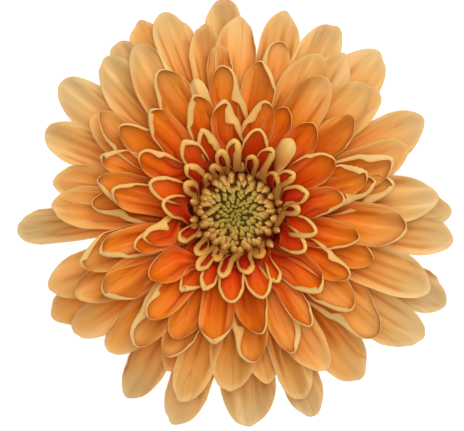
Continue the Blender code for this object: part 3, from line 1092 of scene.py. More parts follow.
OUTER_RAYS = (
    Ray(0.5, 45, 9.2, 0.2), Ray(26, 43.8, 9.8, 0.6, point=0.55, furrows=3),
    Ray(48.3, 45, 11.4, 0, point=0.9, furrows=4), Ray(62.8, 44.7, 9, 0.8, notch=0.5),
    Ray(75.8, 43.4, 8.6, 0), Ray(94.2, 45.2, 7.7, 0.6), Ray(110, 44.8, 8.3, 0.9, furrows=3),
    # The brown tone of the ray at 118 degrees is painted shade, where it lies under its neighbour
    # at 110 degrees.
    Ray(118, 45.1, 7.7, 0, tone=Tone.BROWN), Ray(125.5, 44, 7.7, 0.4),
    Ray(132, 42.8, 10.2, 1.2, furrows=3, tone=Tone.PALE),
    Ray(144, 46, 9.4, 0.2, point=0, tone=Tone.PALE), Ray(157, 43.8, 8.8, 0.7, furrows=5),
    Ray(184.6, 46.6, 7.2, 0.3, point=0.8, furrows=4), Ray(201.5, 42.5, 9.2, 0.8, tone=Tone.WARM),
    Ray(209.5, 44.7, 7.9, 0, tone=Tone.BROWN), Ray(217, 42.7, 8.1, 1, tone=Tone.WARM, right=0.3),
    Ray(239.5, 45.1, 8.6, 0.2, right=0.7, point=0.6), Ray(254, 46.5, 9, 0.8, tone=Tone.WARM),
    Ray(274, 44.9, 11.9, 0.1, furrows=8), Ray(290.6, 45.8, 7.7, 0.8, notch=0.3),
    Ray(307, 43.5, 10, 0.1, point=0.5, furrows=5, tone=Tone.WARM),
    Ray(325, 47.2, 10, 0.8, point=0.7, furrows=3), Ray(336.8, 47.9, 9.2, 0.1, left=0.5, point=0.9),
    Ray(353.6, 45.6, 9.2, 0.9, furrows=4),
)
SECOND_RAYS = (
    Ray(4.5, 42, 10.3, 0.3, furrows=3, tone=Tone.PALE), Ray(20, 38.3, 8.1, 0.1),
    Ray(41, 39.2, 7.7, 0, tone=Tone.PALE),
    Ray(45, 38, 10.3, 1.1, tip=0.25, right=0.4, tone=Tone.PALE),
    Ray(55, 40, 8.5, 0.2, tone=Tone.PALE), Ray(63.5, 37.4, 9.4, 0.9, right=0.5, tone=Tone.PALE),
    Ray(75, 36.8, 7.5, 0.4, left=1.8, tip=0.6),
    Ray(90.8, 40.8, 8.4, 0.9, right=0.6, point=0.5, tone=Tone.WARM),
    Ray(96.5, 35.6, 5.6, 1.1, left=0.5, right=0.6, point=0.8, tone=Tone.WARM),
    Ray(101, 40, 7.3, 0.2), Ray(122, 40.7, 9.2, 0.8, right=1.6, tip=0.2, tone=Tone.PALE),
    # The brown tone of the ray at 147 degrees is painted shade.
    Ray(147, 36.4, 8.8, 0.1, tone=Tone.BROWN), Ray(170, 38.9, 8.3, 0.2, right=0.4),
    Ray(177.5, 38.7, 8.8, 0.9), Ray(207.5, 37.8, 7.9, 0.7, tip=0.35, tone=Tone.WARM),
    Ray(228, 39.6, 8.3, 0.1, right=0.5, tone=Tone.WARM), Ray(246.5, 36.3, 7, 0.2, tone=Tone.WARM),
    Ray(254, 41.3, 8.3, 0.8), Ray(268.5, 37.6, 10.5, 0.3, point=0.45, furrows=5),
    Ray(280, 36.4, 7.5, 0, point=0.5), Ray(289.5, 41.4, 7.3, 0.3, point=0.45),
    Ray(298.5, 38, 8.5, 0.9, right=0.3),
    Ray(320.5, 38.8, 10.6, 0.5, left=0.4, right=2.3, tip=0.5, point=0.45, tone=Tone.WARM),
    Ray(339, 43.2, 9.4, 0.9, furrows=4),
)
THIRD_RAYS = (
    Ray(10.5, 33.4, 7.5, 0.1, right=2.2), Ray(17.5, 34.6, 7.3, 0.7, left=1.8),
    Ray(38, 31.4, 7.1, 0.3, right=0.7, tip=0.35),
    Ray(57.5, 33.9, 8.6, 1, tip=0.12, left=0, right=0, point=0.1, tone=Tone.PALE),
    Ray(79.5, 31.8, 7.1, 0.4, right=0.9), Ray(96, 31.2, 7.5, 0.9, right=2.6, left=0.1),
    Ray(118, 33.8, 8, 0.2, left=1.2), Ray(142.5, 30.8, 7.1, 1, tip=0.7),
    Ray(145.5, 34.9, 7.5, 0.2, left=1.2), Ray(156.5, 30.9, 5.6, 0.8, right=0.8),
    Ray(168.5, 29.9, 7.5, 0.9, left=1.1), Ray(175.5, 30.7, 7.1, 0.1, left=2.2),
    Ray(196.5, 34, 8.4, 0.5, right=0.7), Ray(212, 32.7, 8.4, 0.8, left=0.4),
    Ray(232, 34.8, 8, 0.5, right=2.8, left=0.1), Ray(243.5, 29.8, 7.1, 1, tip=0.35),
    Ray(245.5, 33.3, 7.1, 0.2), Ray(276.5, 31.6, 7.8, 0.5, right=2.6, left=0.1),
    Ray(293.5, 31.4, 7.3, 0.6, left=2), Ray(320.5, 31.5, 8.2, 0.9, right=1.1),
    Ray(341, 30.2, 7.6, 0.2, tip=0.6), Ray(355, 35.5, 8.9, 0.9, right=0.4),
)
FOURTH_RAYS = (
    Ray(11.5, 29.5, 6.4, 0.2, right=2.6, left=0.2), Ray(17, 28.4, 6.8, 0.8, left=1.1),
    Ray(48, 25.1, 6.8, 0.4, left=0.2, right=0.2, tip=0.4),
    Ray(65, 24.7, 6, 0.1, left=0.2, right=0.5, tip=0.4), Ray(75, 24.3, 6.4, 0.8, left=1.9),
    Ray(108.5, 29.3, 4, 0.1, left=0, right=0, tip=0, tilt=158), Ray(112, 26.3, 7.1, 0.8, left=1.4),
    Ray(131, 28.1, 6.4, 0.3, left=1.1), Ray(170, 27, 6.6, 0.5), Ray(196.5, 29.8, 7.3, 0.2),
    Ray(231, 28.9, 6.6, 0.8, right=1.7), Ray(259.5, 28.1, 7.3, 0.3, left=0.5),
    Ray(280.5, 26.4, 7.1, 0.7), Ray(303, 28.6, 4.5, 0.2, left=0.8, right=0.7),
    Ray(316.5, 24.7, 7.3, 0.8, right=1.2), Ray(330, 27.5, 6.2, 0.3, left=1.9),
    Ray(347, 26.5, 6.8, 0.7, tip=0.7),
)
FIFTH_RAYS = (
    Ray(8, 22.8, 6.5, 0.4, tip=0.9), Ray(30, 23.1, 6.8, 0.6, left=1.1, tip=0.7),
    Ray(97.5, 23.4, 6.1, 0.3, right=2.6, left=0.1), Ray(149.5, 23.7, 5.9, 0.5, right=1.6),
    Ray(193, 20.5, 6, 0.9, right=2.6, tip=1), Ray(198.5, 22.5, 5.3, 0.1, right=1.1),
    Ray(217.5, 22.9, 6.8, 0.6, tip=0.4), Ray(236.5, 20.3, 4.6, 0.2, left=0.7, right=0.7),
)
SIXTH_RAYS = (
    Ray(53, 18.3, 4, 0.4, left=0, right=0, tip=0, tilt=168),
    Ray(75.5, 18.7, 5.2, 0.5, tip=0.7, right=0.9), Ray(113, 19.3, 4.2, -0.8, right=2),
    Ray(127, 19.1, 4.8, 0.7, left=0.9), Ray(161.5, 19.8, 5, 0.3, right=1.1, tip=0.9),
    Ray(173.5, 16.4, 5, 0.8, left=1, tip=0.8), Ray(246.5, 18.1, 3.6, 0.3, left=1, right=1),
    Ray(267, 19.4, 5.2, 0.5, tip=0.7), Ray(287.5, 19.3, 5.4, 0.6, left=0.9, tip=0.8),
    Ray(301, 17.3, 3.2, 0.3, left=0.8, right=1), Ray(331, 17.1, 4.8, 0.4, left=1, tip=0.9),
    Ray(346, 17.8, 4.6, 0.7, right=1.4, tip=0.9),
)
INNERMOST_RAYS = (
    Ray(3, 13.7, 3, 0.2), Ray(15, 15.8, 4, 0.6, left=0.9, right=0.7, point=0.4),
    Ray(34, 14.9, 3, 0.3, right=1.5, left=0.6), Ray(43, 12, 3.6, 0.8, left=0.7, right=0.8),
    Ray(62, 15.7, 3.4, 0.3, right=1.7, left=0.4), Ray(74.4, 12.9, 2.8, 0.8, left=0.8, right=1.2),
    Ray(92, 15.6, 3.2, 0.3, left=0.8, right=1.9), Ray(105, 13.9, 2.9, 0.6, left=0.9, right=1.4),
    Ray(117.8, 11.6, 2.6, 0.9), Ray(131, 10.8, 2.4, 0.9),
    Ray(138, 14.7, 3.2, 0.3, right=1.5, left=0.6), Ray(151.4, 12.9, 3, 0.5, left=1.3),
    Ray(205.5, 13.7, 2.8, 0.4, left=1, right=0.6), Ray(226.5, 12.8, 2.8, 0.7, left=1.2),
    Ray(235.5, 15, 2.8, 0.2, left=0.9, right=1.4, tip=1), Ray(247, 11.6, 2.4, 0.8),
    Ray(257, 14.5, 2.8, 0.3, left=1.3, right=0.9, tip=1.1),
    Ray(281, 13.4, 3.4, 0.6, left=1.1, right=0.7), Ray(299, 11.4, 2.8, 0.8),
)

FINE_GRID = (38, 46)
SMALL_GRID = (20, 26)


def ray_whorls() -> list[tuple[RayWhorl, FaceFinish, ReverseFinish]]:
    """The seven whorls from the outermost in, each with the finish of its face and reverse."""
    outer_reverse = ReverseFinish("outer", 0.5)
    inner_reverse = ReverseFinish("inner", 1.0)
    quill_reverse = ReverseFinish("quill", 0.85)
    outer = RayWhorl(
        "outer", "ray_floret_outer_{:02d}", 10.4, 7.6, 17, -36, 45, (27, -23), OUTER_RAYS,
        cup=0.9, groove=0.34, ridge=0.26, bands=(0, 0, 0), hook=-0.1, slot="outer_ray_floret",
        tier=0.42, step=0.45, roll=Roll(0.2), opens=(0.45, 1), point=0.42, tip_length=0.8,
        teeth=0.45, furrows=3, grid=FINE_GRID,
    )
    second = RayWhorl(
        "second", "ray_floret_second_{:02d}", 10.2, 8.9, 27, -23, 39, (37, -9), SECOND_RAYS,
        cup=1.2, groove=0.32, ridge=0.24, bands=(0, 0, 0), hook=0.2, slot="outer_ray_floret",
        tier=0.42, step=0.45, roll=Roll(0.2), opens=(0.45, 1), point=0.42, tip_length=0.8,
        teeth=0.35, furrows=3, grid=FINE_GRID,
    )
    third = RayWhorl(
        "third", "ray_whorl_third", 10, 10.1, 37, -9, 32.5, (46, 5), THIRD_RAYS,
        cup=1.7, groove=0.3, ridge=0.18, bands=(0, 0, 1.2), hook=0.5,
    )
    fourth = RayWhorl(
        "fourth", "ray_whorl_fourth", 9.7, 11.2, 46, 5, 27.5, (54, 18), FOURTH_RAYS,
        cup=1.6, groove=0.25, ridge=0.15, trim=0.3,
    )
    fifth = RayWhorl(
        "fifth", "ray_whorl_fifth", 9.3, 12.2, 54, 18, 22.5, (62, 30), FIFTH_RAYS,
        cup=1.5, groove=0.12, ridge=0.1, point=0.35, tip_length=0.65, trim=-0.3,
    )
    sixth = RayWhorl(
        "sixth", "ray_whorl_sixth", 8.9, 13.2, 62, 30, 18.2, (70, 43), SIXTH_RAYS,
        cup=2, groove=0, ridge=0.05, bands=(0.9, 0.9, 1.3), hook=0.2, opens=(0.2, 0.8), point=0.2,
        tip_length=0.62, teeth=0, furrows=0, grid=SMALL_GRID, corner=0.85, trim=-0.1,
    )
    innermost = RayWhorl(
        "innermost", "ray_whorl_innermost", 8.3, 14.15, 70, 43, 13.6, (77, 55), INNERMOST_RAYS,
        cup=0, groove=0, ridge=0.05, bands=(1.3, 1.3, 1.3), hook=0, tier=0.3, roll=Roll(0.32),
        opens=(-0.1, 0.15), point=0.1, tip_length=0.55, teeth=0, furrows=0, grid=SMALL_GRID,
        corner=1, trim=0.3,
    )
    return [
        (outer, FaceFinish("outer", 0.7, 0.26, 0.35, 0.35), outer_reverse),
        (second, FaceFinish("second", 0.8, 0.24, 0.5, 0.3), outer_reverse),
        (third, FaceFinish("third", 1.0, 0.26, 0.15, 0.22), inner_reverse),
        (fourth, FaceFinish("fourth", 1.0, 0.2, 0.15, 0.2), inner_reverse),
        (fifth, FaceFinish("fifth", 0.95, 0.16, 0.15, 0.18), inner_reverse),
        (sixth, FaceFinish("sixth", 0.7, 0.2, 0.3, 0.3), inner_reverse),
        (innermost, FaceFinish("innermost", 0.4, 0.2, 0.2, 0.3), quill_reverse),
    ]


# ---- disc florets ------------------------------------------------------------------------


@dataclass(frozen=True)
class DiscFinish:
    """The colours of the disc florets: olive and shut in the middle, buff at the rim, with painted
    shade at each bud's foot and a painted highlight on its top.
    """

    name: str = "disc_floret_buds"

    SKIN = at_radii(
        (0, "AE983E"), (2.5, "BAA046"), (4.5, "CEA44E"), (6, "D49E4C"), (8, "CA9044"),
        (10, "CA8E42"),
    )
    TIP_HIGHLIGHT = at_radii((0, "B2A244"), (4, "CEB05E"), (7, "EAB868"), (10, "EEBA68"))
    FOOT_SHADE = at_radii((0, "766E24"), (4, "6E561A"), (6, "763E12"), (8, "722A0A"), (10, "6E2408"))

    def material(self) -> Material:
        """Makes the buds' material."""
        material, graph, shader = new_material(self.name, roughness=0.5)
        spread, rise = graph.mark("spread"), graph.mark("rise")
        speck = graph.noise(graph.place(), 2600.0)
        skin = graph.ramp(graph.sum(spread, graph.swing(graph.mark("tone"), 0.05)), self.SKIN)
        # Painted shade at each bud's foot, between the buds, and a painted highlight on its top.
        colour = graph.mix(graph.span(rise, 0.42, 0.8), graph.ramp(spread, self.FOOT_SHADE), skin)
        colour = graph.mix(graph.span(rise, 0.72, 0.98), colour, graph.ramp(spread, self.TIP_HIGHLIGHT))
        colour = graph.dimmed(colour, graph.sum(graph.product(speck, 0.3), 0.86))
        graph.feed(shader.inputs["Base Color"], colour)
        add_bump(graph, shader, speck, 0.25, 0.08)
        soften_petal(shader)
        return material


@dataclass(frozen=True)
class RimBud:
    """A disc floret of the rim, listed one by one: its azimuth, radius, breadth and length."""

    azimuth: float
    radius: float
    breadth: float = 1.95
    length: float = 3.2


@dataclass
class DiscFlorets:
    """The buds in the middle of the bloom. Lengths are in millimetres.

    Each bud's breadth grows from the middle to the rim, and so does the room round it,
    which is packing times the breadth's square. The young buds stand short between the
    grown ones, at young_radii. A bud of the rim that is placed beyond leans_out leans out
    over the claws, and the others lean in. Every foot is sunk a little in the crown.
    """

    radius: float = 8.3
    breadths: Pair = (0.85, 1.9)
    growth: float = 1.15
    packing: float = 0.68
    young_count: int = 50
    young_radii: Pair = (3.0, 7.9)
    rim_foot: float = 8.1
    leans_out: float = 9.1
    crown_radius: float = 7.1
    crown_drop: float = 0.5
    sunk: float = 0.3
    lobes: int = 5
    lobe_depth: float = 0.08
    rings: int = 8
    segments: int = 10
    rim: tuple[RimBud, ...] = (
        RimBud(113, 8.5), RimBud(98.5, 9), RimBud(84, 10, 2.2), RimBud(83, 8.2),
        RimBud(69, 8.7), RimBud(59.5, 9.5, 1.8), RimBud(49, 8.2), RimBud(25, 9),
        RimBud(13, 9.2), RimBud(198, 10), RimBud(190, 9.4), RimBud(166, 9.5, 2.3),
        RimBud(180, 8.5), RimBud(200, 8.2), RimBud(217, 8.8), RimBud(147, 8.8),
        RimBud(134, 10), RimBud(126, 8.4), RimBud(234, 8.4), RimBud(258, 10.4, 1.5),
        RimBud(316, 10), RimBud(336, 9.3, 1.8), RimBud(350, 8.9, 2.3), RimBud(328, 8.5),
        RimBud(305, 8.6), RimBud(288, 8.6), RimBud(275, 9.1), RimBud(266, 8.6),
        RimBud(250, 8.8), RimBud(240, 9.4), RimBud(297, 9.6, 1.8), RimBud(38, 8.6),
        RimBud(2, 9.6, 1.8), RimBud(157, 8.3), RimBud(106, 9.8, 1.8), RimBud(210, 9.6, 1.8),
    )

    def crown(self, radius: float) -> float:
        """The height of the receptacle's crown at this radius, in millimetres."""
        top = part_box("receptacle")[1].z / MM
        return top - self.crown_drop * (radius / self.crown_radius) ** 2

    def breadth(self, radius: Array | float) -> Array | float:
        """The breadth of a bud whose head stands at this radius."""
        low, high = self.breadths
        return low + (high - low) * (radius / self.radius) ** self.growth

    def radii(self) -> Array:
        """The radii of the heads, close enough for buds of this breadth to fill the disc."""
        fine = np.linspace(0, self.radius, 400)
        density = math.tau * fine / (self.packing * self.breadth(fine) ** 2)
        count = np.cumsum(density) * fine[1]
        return np.interp(np.arange(int(count[-1])) + 0.5, count, fine)

    def add_bud(
        self, bm: BMesh, azimuth: float, foot: float, head: float, breadth: float,
        length: float, tone: float,
    ) -> None:
        """Adds one bud, a closed corolla with five faint lobes and a point.

        Args:
            bm: The mesh that it goes into.
            azimuth: Where it stands, in radians.
            foot: How far its foot lies from the axis.
            head: How far its head lies from the axis.
            breadth: Its widest part.
            length: Its length.
            tone: The bud's own shift of colour.
        """
        rise_of, spread_of, tone_of = (
            bm.verts.layers.float.get(name) or bm.verts.layers.float.new(name)
            for name in ("rise", "spread", "tone")
        )
        outward = Vector((math.cos(azimuth), math.sin(azimuth), 0))
        lean = math.asin(max(-1.0, min((head - foot) / length, 1.0)))
        direction = Vector((0, 0, math.cos(lean))) + outward * math.sin(lean)
        start = outward * foot
        start.z = self.crown(min(foot, self.crown_radius)) - self.sunk
        turn = direction.to_track_quat("Z", "Y").to_matrix().to_4x4()
        made = bmesh.ops.create_uvsphere(
            bm, u_segments=self.segments, v_segments=self.rings, radius=0.5
        )
        for vert in made["verts"]:
            rise = vert.co.z + 0.5
            swell = 0.55 + 0.45 * float(smooth(rise / 0.55))
            swell *= 1 - 0.6 * float(smooth((rise - 0.46) / 0.54))
            wave = math.cos(self.lobes * math.atan2(vert.co.y, vert.co.x))
            lobe = 1 + self.lobe_depth * wave * rise
            vert.co.x *= breadth * swell * lobe
            vert.co.y *= breadth * swell * lobe
            vert.co.z = rise * length
            vert.co = start + turn @ vert.co
            vert[rise_of], vert[spread_of], vert[tone_of] = rise, head / SPREAD_MM, tone

    def add_grown_buds(self, bm: BMesh, draw: Draw) -> None:
        """Adds the grown buds of the middle, which lean in more the further out they stand.

        Args:
            bm: The mesh that they go into.
            draw: The seeded draw.
        """
        for index, radius in enumerate(self.radii()):
            share = radius / self.radius
            length = (1.8 + 1.7 * share) * draw.uniform(0.9, 1.15)
            inwards = length * math.sin(math.radians(24 + 20 * share + draw.uniform(-10, 10)))
            middle = radius + draw.uniform(-0.16, 0.16)
            foot = min(middle + inwards / 2, self.rim_foot + 0.3)
            self.add_bud(
                bm, index * GOLDEN_ANGLE + draw.uniform(-0.16, 0.16), foot, foot - inwards,
                float(self.breadth(radius)) * draw.uniform(0.85, 1.08), length, draw.uniform(0, 1),
            )

    def add_young_buds(self, bm: BMesh, draw: Draw) -> None:
        """Adds the short buds that fill the room between the grown ones.

        Args:
            bm: The mesh that they go into.
            draw: The seeded draw.
        """
        low, high = self.young_radii
        for index in range(self.young_count):
            share = (index + 0.5) / self.young_count
            foot = math.sqrt(low**2 + share * (high**2 - low**2)) + draw.uniform(-0.2, 0.2)
            self.add_bud(
                bm, index * GOLDEN_ANGLE + 0.9, foot, foot - draw.uniform(0.2, 0.9),
                draw.uniform(1.15, 1.5), draw.uniform(1.7, 2.2), draw.uniform(0, 1),
            )

    def add_rim_buds(self, bm: BMesh, draw: Draw) -> None:
        """Adds the buds that are listed one by one.

        Args:
            bm: The mesh that they go into.
            draw: The seeded draw.
        """
        for bud in self.rim:
            if bud.radius > self.leans_out:
                foot, head, length = self.rim_foot, bud.radius + 0.4, bud.length + 1.4
            else:
                between = (self.rim_foot + bud.radius - 0.9) / 2
                foot, head, length = between + 0.85, between - 0.95, bud.length
            azimuth = math.radians(bud.azimuth)
            self.add_bud(bm, azimuth, foot, head, bud.breadth, length, draw.uniform(0, 1))

    def build(self, finish: DiscFinish) -> None:
        """Builds the buds of the middle and of the rim.

        Args:
            finish: Their finish.
        """
        material, draw = finish.material(), np.random.default_rng(7)
        middle, rim = bmesh.new(), bmesh.new()
        self.add_grown_buds(middle, draw)
        self.add_young_buds(middle, np.random.default_rng(19))
        self.add_rim_buds(rim, draw)
        for name, bm in (("middle", middle), ("rim", rim)):
            bmesh.ops.transform(bm, matrix=TO_AXIS, verts=bm.verts)
            buds = add_piece(f"disc_florets_{name}", bm)
            install(buds, "disc_floret", "disc_florets", material)


# ---- the back of the bloom ---------------------------------------------------------------


@dataclass(frozen=True)
class GreenFinish:
    """The green of the bracts' cups, the stalk and its cut, from a deep shade to a light one.

    bump is how strong the grain is, which runs along the stalk where along_z is set.
    """

    name: str
    deep: str
    light: str
    bump: float
    along_z: bool = False

    def material(self) -> Material:
        """Makes the green material."""
        material, graph, shader = new_material(self.name, roughness=0.55)
        scale = (700.0, 700.0, 60.0) if self.along_z else (500.0, 500.0, 500.0)
        streak = graph.grain(graph.place(), scale, 4.0)
        colour = graph.ramp(streak, ((0.3, self.deep), (0.7, self.light)))
        graph.feed(shader.inputs["Base Color"], colour)
        graph.feed(shader.inputs["Roughness"], graph.span(streak, 0.3, 0.7, 0.5, 0.65))
        add_bump(graph, shader, streak, self.bump, 0.1)
        return material


@dataclass(frozen=True)
class BractFinish:
    """Green bracts with a dark keel and a dry, papery margin."""

    name: str = "bract_skin"

    def material(self) -> Material:
        """Makes the bracts' material."""
        material, graph, shader = new_material(self.name, roughness=0.6)
        surface = graph.blade()
        parts = graph.parts(surface)
        across = graph.math("ABSOLUTE", graph.math("SUBTRACT", graph.product(parts[0], 2.0), 1.0))
        streak = graph.grain(surface, (30.0, 2.0, 1.0), 4.0)
        green = graph.ramp(streak, ((0.3, "4E6A2C"), (0.7, "7E9448")))
        keel = graph.mix(graph.span(across, 0.16, 0.0), green, linear("3C5524"))
        edge = graph.sum(across, graph.product(parts[1], 0.12))
        colour = graph.mix(graph.span(edge, 0.72, 0.92), keel, linear("C9B483"))
        colour = graph.mix(graph.span(edge, 0.98, 1.08), colour, linear("A88A56"))
        graph.feed(shader.inputs["Base Color"], colour)
        graph.feed(shader.inputs["Roughness"], graph.span(edge, 0.7, 0.9, 0.55, 0.75))
        add_bump(graph, shader, streak, 0.4, 0.1)
        return material


@dataclass(frozen=True)
class ReceptacleFinish:
    """The receptacle: olive in the middle, red where the rays stand, and green below."""

    name: str = "receptacle_skin"

    CROWN = at_radii((0, "5E561A"), (3.5, "5E4A16"), (5.5, "5E3410"), (8, "8E2208"))
    # The heights in metres between which the green gives way to the crown's colours.
    SHOULDER = (0.0075, 0.0095)

    def material(self) -> Material:
        """Makes the receptacle's material."""
        material, graph, shader = new_material(self.name, roughness=0.65)
        place = graph.place()
        sources = {"Vector": place, "Location": (-AXIS.x, -AXIS.y, 0), "Scale": (1, 1, 0)}
        from_axis = graph.made("ShaderNodeMapping", 0, sources)
        reach = graph.made("ShaderNodeVectorMath", "Value", {0: from_axis}, operation="LENGTH")
        speck = graph.noise(place, 900.0, 4.0)
        crown = graph.ramp(graph.math("DIVIDE", reach, SPREAD_MM * MM), self.CROWN)
        under = graph.ramp(speck, ((0.3, "56702E"), (0.7, "879A50")))
        colour = graph.mix(graph.span(graph.parts(place)[2], *self.SHOULDER), under, crown)
        graph.feed(shader.inputs["Base Color"], colour)
        shader.inputs["Specular IOR Level"].default_value = 0.1
        add_bump(graph, shader, speck, 0.4, 0.1)
        return material


def spun(outline: Sequence[Pair], steps: int, closed: bool) -> BMesh:
    """Turns an outline about the axis.

    Args:
        outline: Radii and heights in millimetres.
        steps: How many steps the whole turn takes.
        closed: Whether the outline's last point joins its first.

    Returns:
        The turned mesh, in millimetres.
    """
    bm = bmesh.new()
    verts = [bm.verts.new((radius, 0, height)) for radius, height in outline]
    ends = verts[1:] + verts[:1] if closed else verts[1:]
    edges = [bm.edges.new(pair) for pair in zip(verts, ends)]
    bmesh.ops.spin(
        bm, geom=verts + edges, cent=(0, 0, 0), axis=(0, 0, 1), angle=math.tau, steps=steps,
        use_merge=True,
    )
    bmesh.ops.remove_doubles(bm, verts=bm.verts, dist=1e-4)
    return bm


def add_turned(name: str, bm: BMesh) -> Object:
    """Makes a piece of a turned mesh, with its faces outwards and its axis the bloom's.

    Args:
        name: The piece's name.
        bm: The mesh, in millimetres.

    Returns:
        The new piece.
    """
    bmesh.ops.recalc_face_normals(bm, faces=bm.faces)
    bmesh.ops.transform(bm, matrix=TO_AXIS, verts=bm.verts)
    return add_piece(name, bm)


@dataclass(frozen=True)
class BractRow:
    """One row of bracts. Lengths are in millimetres and angles in degrees.

    drop is how far the row's cup lies below the receptacle, and inner and rim are the
    cup's radii. slope is how steeply the bracts rise, and turn is the first one's azimuth.
    """

    name: str
    count: int
    drop: float
    inner: float
    rim: float
    length: float
    width: float
    slope: float
    turn: float


@dataclass
class Involucre:
    """The green bracts that close the head below. Lengths are in millimetres.

    underside is the outline of the receptacle's lower face, as radii and heights. Each
    bract starts this far, root, inside its cup's rim, and its middle lies keel lower than
    its margins.
    """

    rows: tuple[BractRow, ...] = (
        BractRow("inner", 21, 0.3, 5.4, 9.8, 6.2, 3.4, 15, 0),
        BractRow("outer", 17, 1.15, 3.7, 8.3, 6, 3, 18, 10),
    )
    underside: tuple[Pair, ...] = ((3, 4.9), (6.3, 5.95), (9.5, 7.2), (12, 8.2))
    wall: float = 0.4
    root: float = 2.6
    tuck: float = 0.6
    sunk: float = 0.12
    keel: float = 0.28
    thickness: float = 0.22
    grid: tuple[int, int] = (10, 16)

    def under(self, radius: float) -> float:
        """The height of the receptacle's underside at this radius."""
        return float(np.interp(radius, *zip(*self.underside)))

    def build_cup(self, row: BractRow, material: Material) -> None:
        """Builds the thin cup that a row of bracts grows from.

        Args:
            row: The row.
            material: The cup's material.
        """
        radii = np.linspace(row.inner, row.rim, 7)
        outline = [(radius, self.under(radius) - row.drop) for radius in radii]
        outline += [(radius, height - self.wall) for radius, height in reversed(outline)]
        cup = add_turned(f"involucre_cup_{row.name}", spun(outline, 64, closed=True))
        install(cup, "bract", f"involucre_{row.name}_bracts", material)

    def build_bract(self, row: BractRow, index: int, material: Material) -> None:
        """Builds one bract.

        Args:
            row: The row.
            index: The bract's place in the row.
            material: The bract's material.
        """
        bm = flat_grid(*self.grid)
        azimuth = math.radians(row.turn + index * 360 / row.count)
        outward = Vector((math.cos(azimuth), math.sin(azimuth), 0))
        sideways = Vector((-outward.y, outward.x, 0))
        draw = np.random.default_rng(40 + index)
        stretch, rise = draw.uniform(0.92, 1.0), math.radians(row.slope + draw.uniform(-4, 4))
        hidden = row.rim - self.tuck
        for vert in bm.verts:
            side, part = vert.co.x * 2, vert.co.y + 0.5
            run = part * (row.length + self.root) * stretch - self.root
            shape = (0.72 + 0.28 * math.sin(math.pi * min(part * 1.15, 1))) * math.sqrt(
                max(1 - max((part - 0.55) / 0.45, 0) ** 2.2, 0.012)
            )
            radius = hidden + run * (math.cos(rise) if run > 0 else 1)
            height = self.under(min(radius, hidden)) - row.drop - self.wall / 2 - self.sunk
            height += max(run, 0) * math.sin(rise) - self.keel * (1 - side * side) * shape
            place = outward * radius + sideways * (side * row.width / 2 * shape)
            vert.co = TO_AXIS @ Vector((place.x, place.y, height))
        bract = add_piece(f"bract_{row.name}_{index + 1:02d}", bm)
        thicken(bract, self.thickness, back=0)
        install(bract, "bract", f"involucre_{row.name}_bracts", material)

    def build(self, bract: BractFinish, cup: GreenFinish) -> None:
        """Builds both rows of bracts on their cups.

        Args:
            bract: The bracts' finish.
            cup: The cups' finish.
        """
        skin, shell = bract.material(), cup.material()
        for row in self.rows:
            self.build_cup(row, shell)
            for index in range(row.count):
                self.build_bract(row, index, skin)


@dataclass
class Stalk:
    """The cut end of the stalk: ribbed skin and a pale pith where it was cut.

    Lengths are in millimetres. throat is the radius where it meets the receptacle.
    """

    radius: float = 2.6
    throat: float = 3.0
    ribs: int = 9
    rib_depth: float = 0.09
    segments: int = 72

    def outline(self) -> list[Pair]:
        """The stalk's outline, from its top down and in to the middle of the cut."""
        top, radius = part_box("peduncle_stub")[1].z / MM, self.radius
        neck = [(0, top), (self.throat, top), (self.throat - 0.05, top - 0.4)]
        side = [(radius + 0.12, top * 0.62), (radius, top * 0.45), (radius, top * 0.2)]
        foot = [(radius, 0.12), (radius - 0.12, 0), (radius * 0.8, 0)]
        return neck + side + foot + [(radius * 0.5, 0.06), (0, 0.08)]

    def build(self, skin: GreenFinish, pith: GreenFinish) -> None:
        """Builds the stalk.

        Args:
            skin: The finish of its skin.
            pith: The finish of the cut.
        """
        bm = spun(self.outline(), self.segments, closed=False)
        for vert in bm.verts:
            reach = math.hypot(vert.co.x, vert.co.y)
            if reach > self.radius * 0.9:
                wave = math.cos(self.ribs * math.atan2(vert.co.y, vert.co.x))
                factor = 1 + self.rib_depth * wave / reach
                vert.co.x *= factor
                vert.co.y *= factor
        stalk = add_turned("peduncle", bm)
        install(stalk, "stalk", "peduncle_stub", skin.material(), pith.material())
        for face in stalk.data.polygons:
            middle = face.center
            cut = middle.z < 0.06 * MM or face.normal.z < -0.85
            within = math.hypot(middle.x - AXIS.x, middle.y - AXIS.y) < (self.radius - 0.1) * MM
            face.material_index = 1 if cut and within else 0


@dataclass
class Receptacle:
    """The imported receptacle, which keeps its shape and gets a skin."""

    node: str = "receptacle"

    def dress(self, finish: ReceptacleFinish) -> None:
        """Gives the receptacle its material.

        Args:
            finish: The receptacle's finish.
        """
        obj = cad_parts[self.node]
        obj.data.materials.clear()
        obj.data.materials.append(finish.material())
        log.info("%s dressed", self.node)


# ---- the studio --------------------------------------------------------------------------


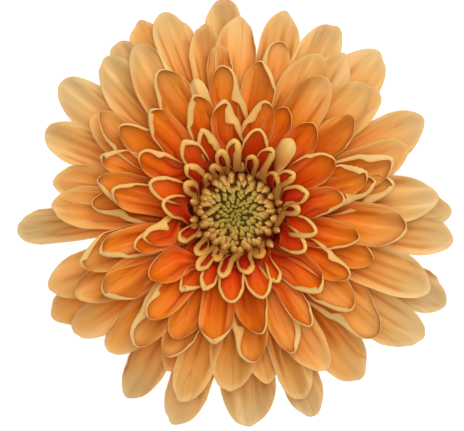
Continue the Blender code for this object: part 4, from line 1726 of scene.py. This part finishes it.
@dataclass
class Studio:
    """A pale floor, soft light from the upper left, and a camera that looks straight down.

    Lengths are in metres, and offset is how far the view's middle lies from the axis.
    """

    view_width: float = 0.09744
    offset: Pair = (-0.00101, -0.00066)
    height: float = 1.5
    sensor: float = 36.0
    key_power: float = 2.6
    key_size: float = 0.5
    key_place: Triple = (0.2, 0.35, 0.69)
    front_power: float = 5.0
    front_size: float = 0.45
    front_place: Triple = (0.02, 0.05, 1.2)
    dome: float = 0.4
    floor_glow: float = 0.85

    def build_floor(self) -> None:
        """Lays the floor."""
        bm = bmesh.new()
        bmesh.ops.create_grid(bm, x_segments=1, y_segments=1, size=3.0)
        floor = add_piece("floor", bm)
        material, _, shader = new_material("floor_paper", roughness=0.9)
        shader.inputs["Base Color"].default_value = (0.3, 0.3, 0.3, 1.0)
        shader.inputs["Specular IOR Level"].default_value = 0.0
        shader.inputs["Emission Color"].default_value = (1.0, 1.0, 1.0, 1.0)
        shader.inputs["Emission Strength"].default_value = self.floor_glow
        floor.data.materials.append(material)

    def add_light(self, name: str, power: float, size: float, place: Triple) -> None:
        """Hangs a soft round light that faces the bloom.

        Args:
            name: The light's name.
            power: Its power in watts.
            size: Its diameter.
            place: Where it hangs.
        """
        light = bpy.data.lights.new(name, "AREA")
        light.shape = "DISK"
        light.size = size
        light.energy = power
        light.color = (1.0, 0.99, 0.97)
        lamp = bpy.data.objects.new(name, light)
        lamp.location = place
        lamp.rotation_euler = (-Vector(place)).to_track_quat("-Z", "Y").to_euler()
        bpy.context.scene.collection.objects.link(lamp)

    def build_lights(self) -> None:
        """Hangs the key and the front light, and lights the dome."""
        self.add_light("key", self.key_power, self.key_size, self.key_place)
        self.add_light("front", self.front_power, self.front_size, self.front_place)
        world = bpy.data.worlds.new("dome")
        world.use_nodes = True
        background = world.node_tree.nodes["Background"]
        background.inputs["Color"].default_value = (0.98, 0.99, 1.0, 1.0)
        background.inputs["Strength"].default_value = self.dome
        bpy.context.scene.world = world

    def build_camera(self) -> None:
        """Hangs the camera over the bloom."""
        data = bpy.data.cameras.new("camera")
        data.sensor_width = self.sensor
        data.lens = self.sensor * self.height / self.view_width
        data.clip_start, data.clip_end = 0.05, 20.0
        camera = bpy.data.objects.new("camera", data)
        camera.location = (AXIS.x + self.offset[0], AXIS.y + self.offset[1], self.height)
        bpy.context.scene.collection.objects.link(camera)
        bpy.context.scene.camera = camera
        bpy.context.scene.view_settings.view_transform = "Standard"

    def build(self) -> None:
        """Builds the whole studio."""
        self.build_floor()
        self.build_lights()
        self.build_camera()


def main() -> None:
    """Builds the bloom from the outer rays in, then its back, then the studio."""
    logging.basicConfig(level=logging.INFO, format="%(name)s: %(message)s")
    face_group, reverse_group = petal_face_group(), petal_reverse_group()
    reverses: dict[str, Material] = {}
    for whorl, face, reverse in ray_whorls():
        if reverse.name not in reverses:
            reverses[reverse.name] = reverse.material(reverse_group)
        whorl.build(face.material(face_group), reverses[reverse.name])
    DiscFlorets().build(DiscFinish())
    Involucre().build(BractFinish(), GreenFinish("cup_skin", "5A7432", "86984E", 0.3))
    Stalk().build(
        GreenFinish("stalk_skin", "56702E", "8CA05A", 0.5, along_z=True),
        GreenFinish("stalk_pith", "A8B078", "D8D8AE", 0.2),
    )
    Receptacle().dress(ReceptacleFinish())
    Studio().build()


if __name__ == "__main__":
    main()
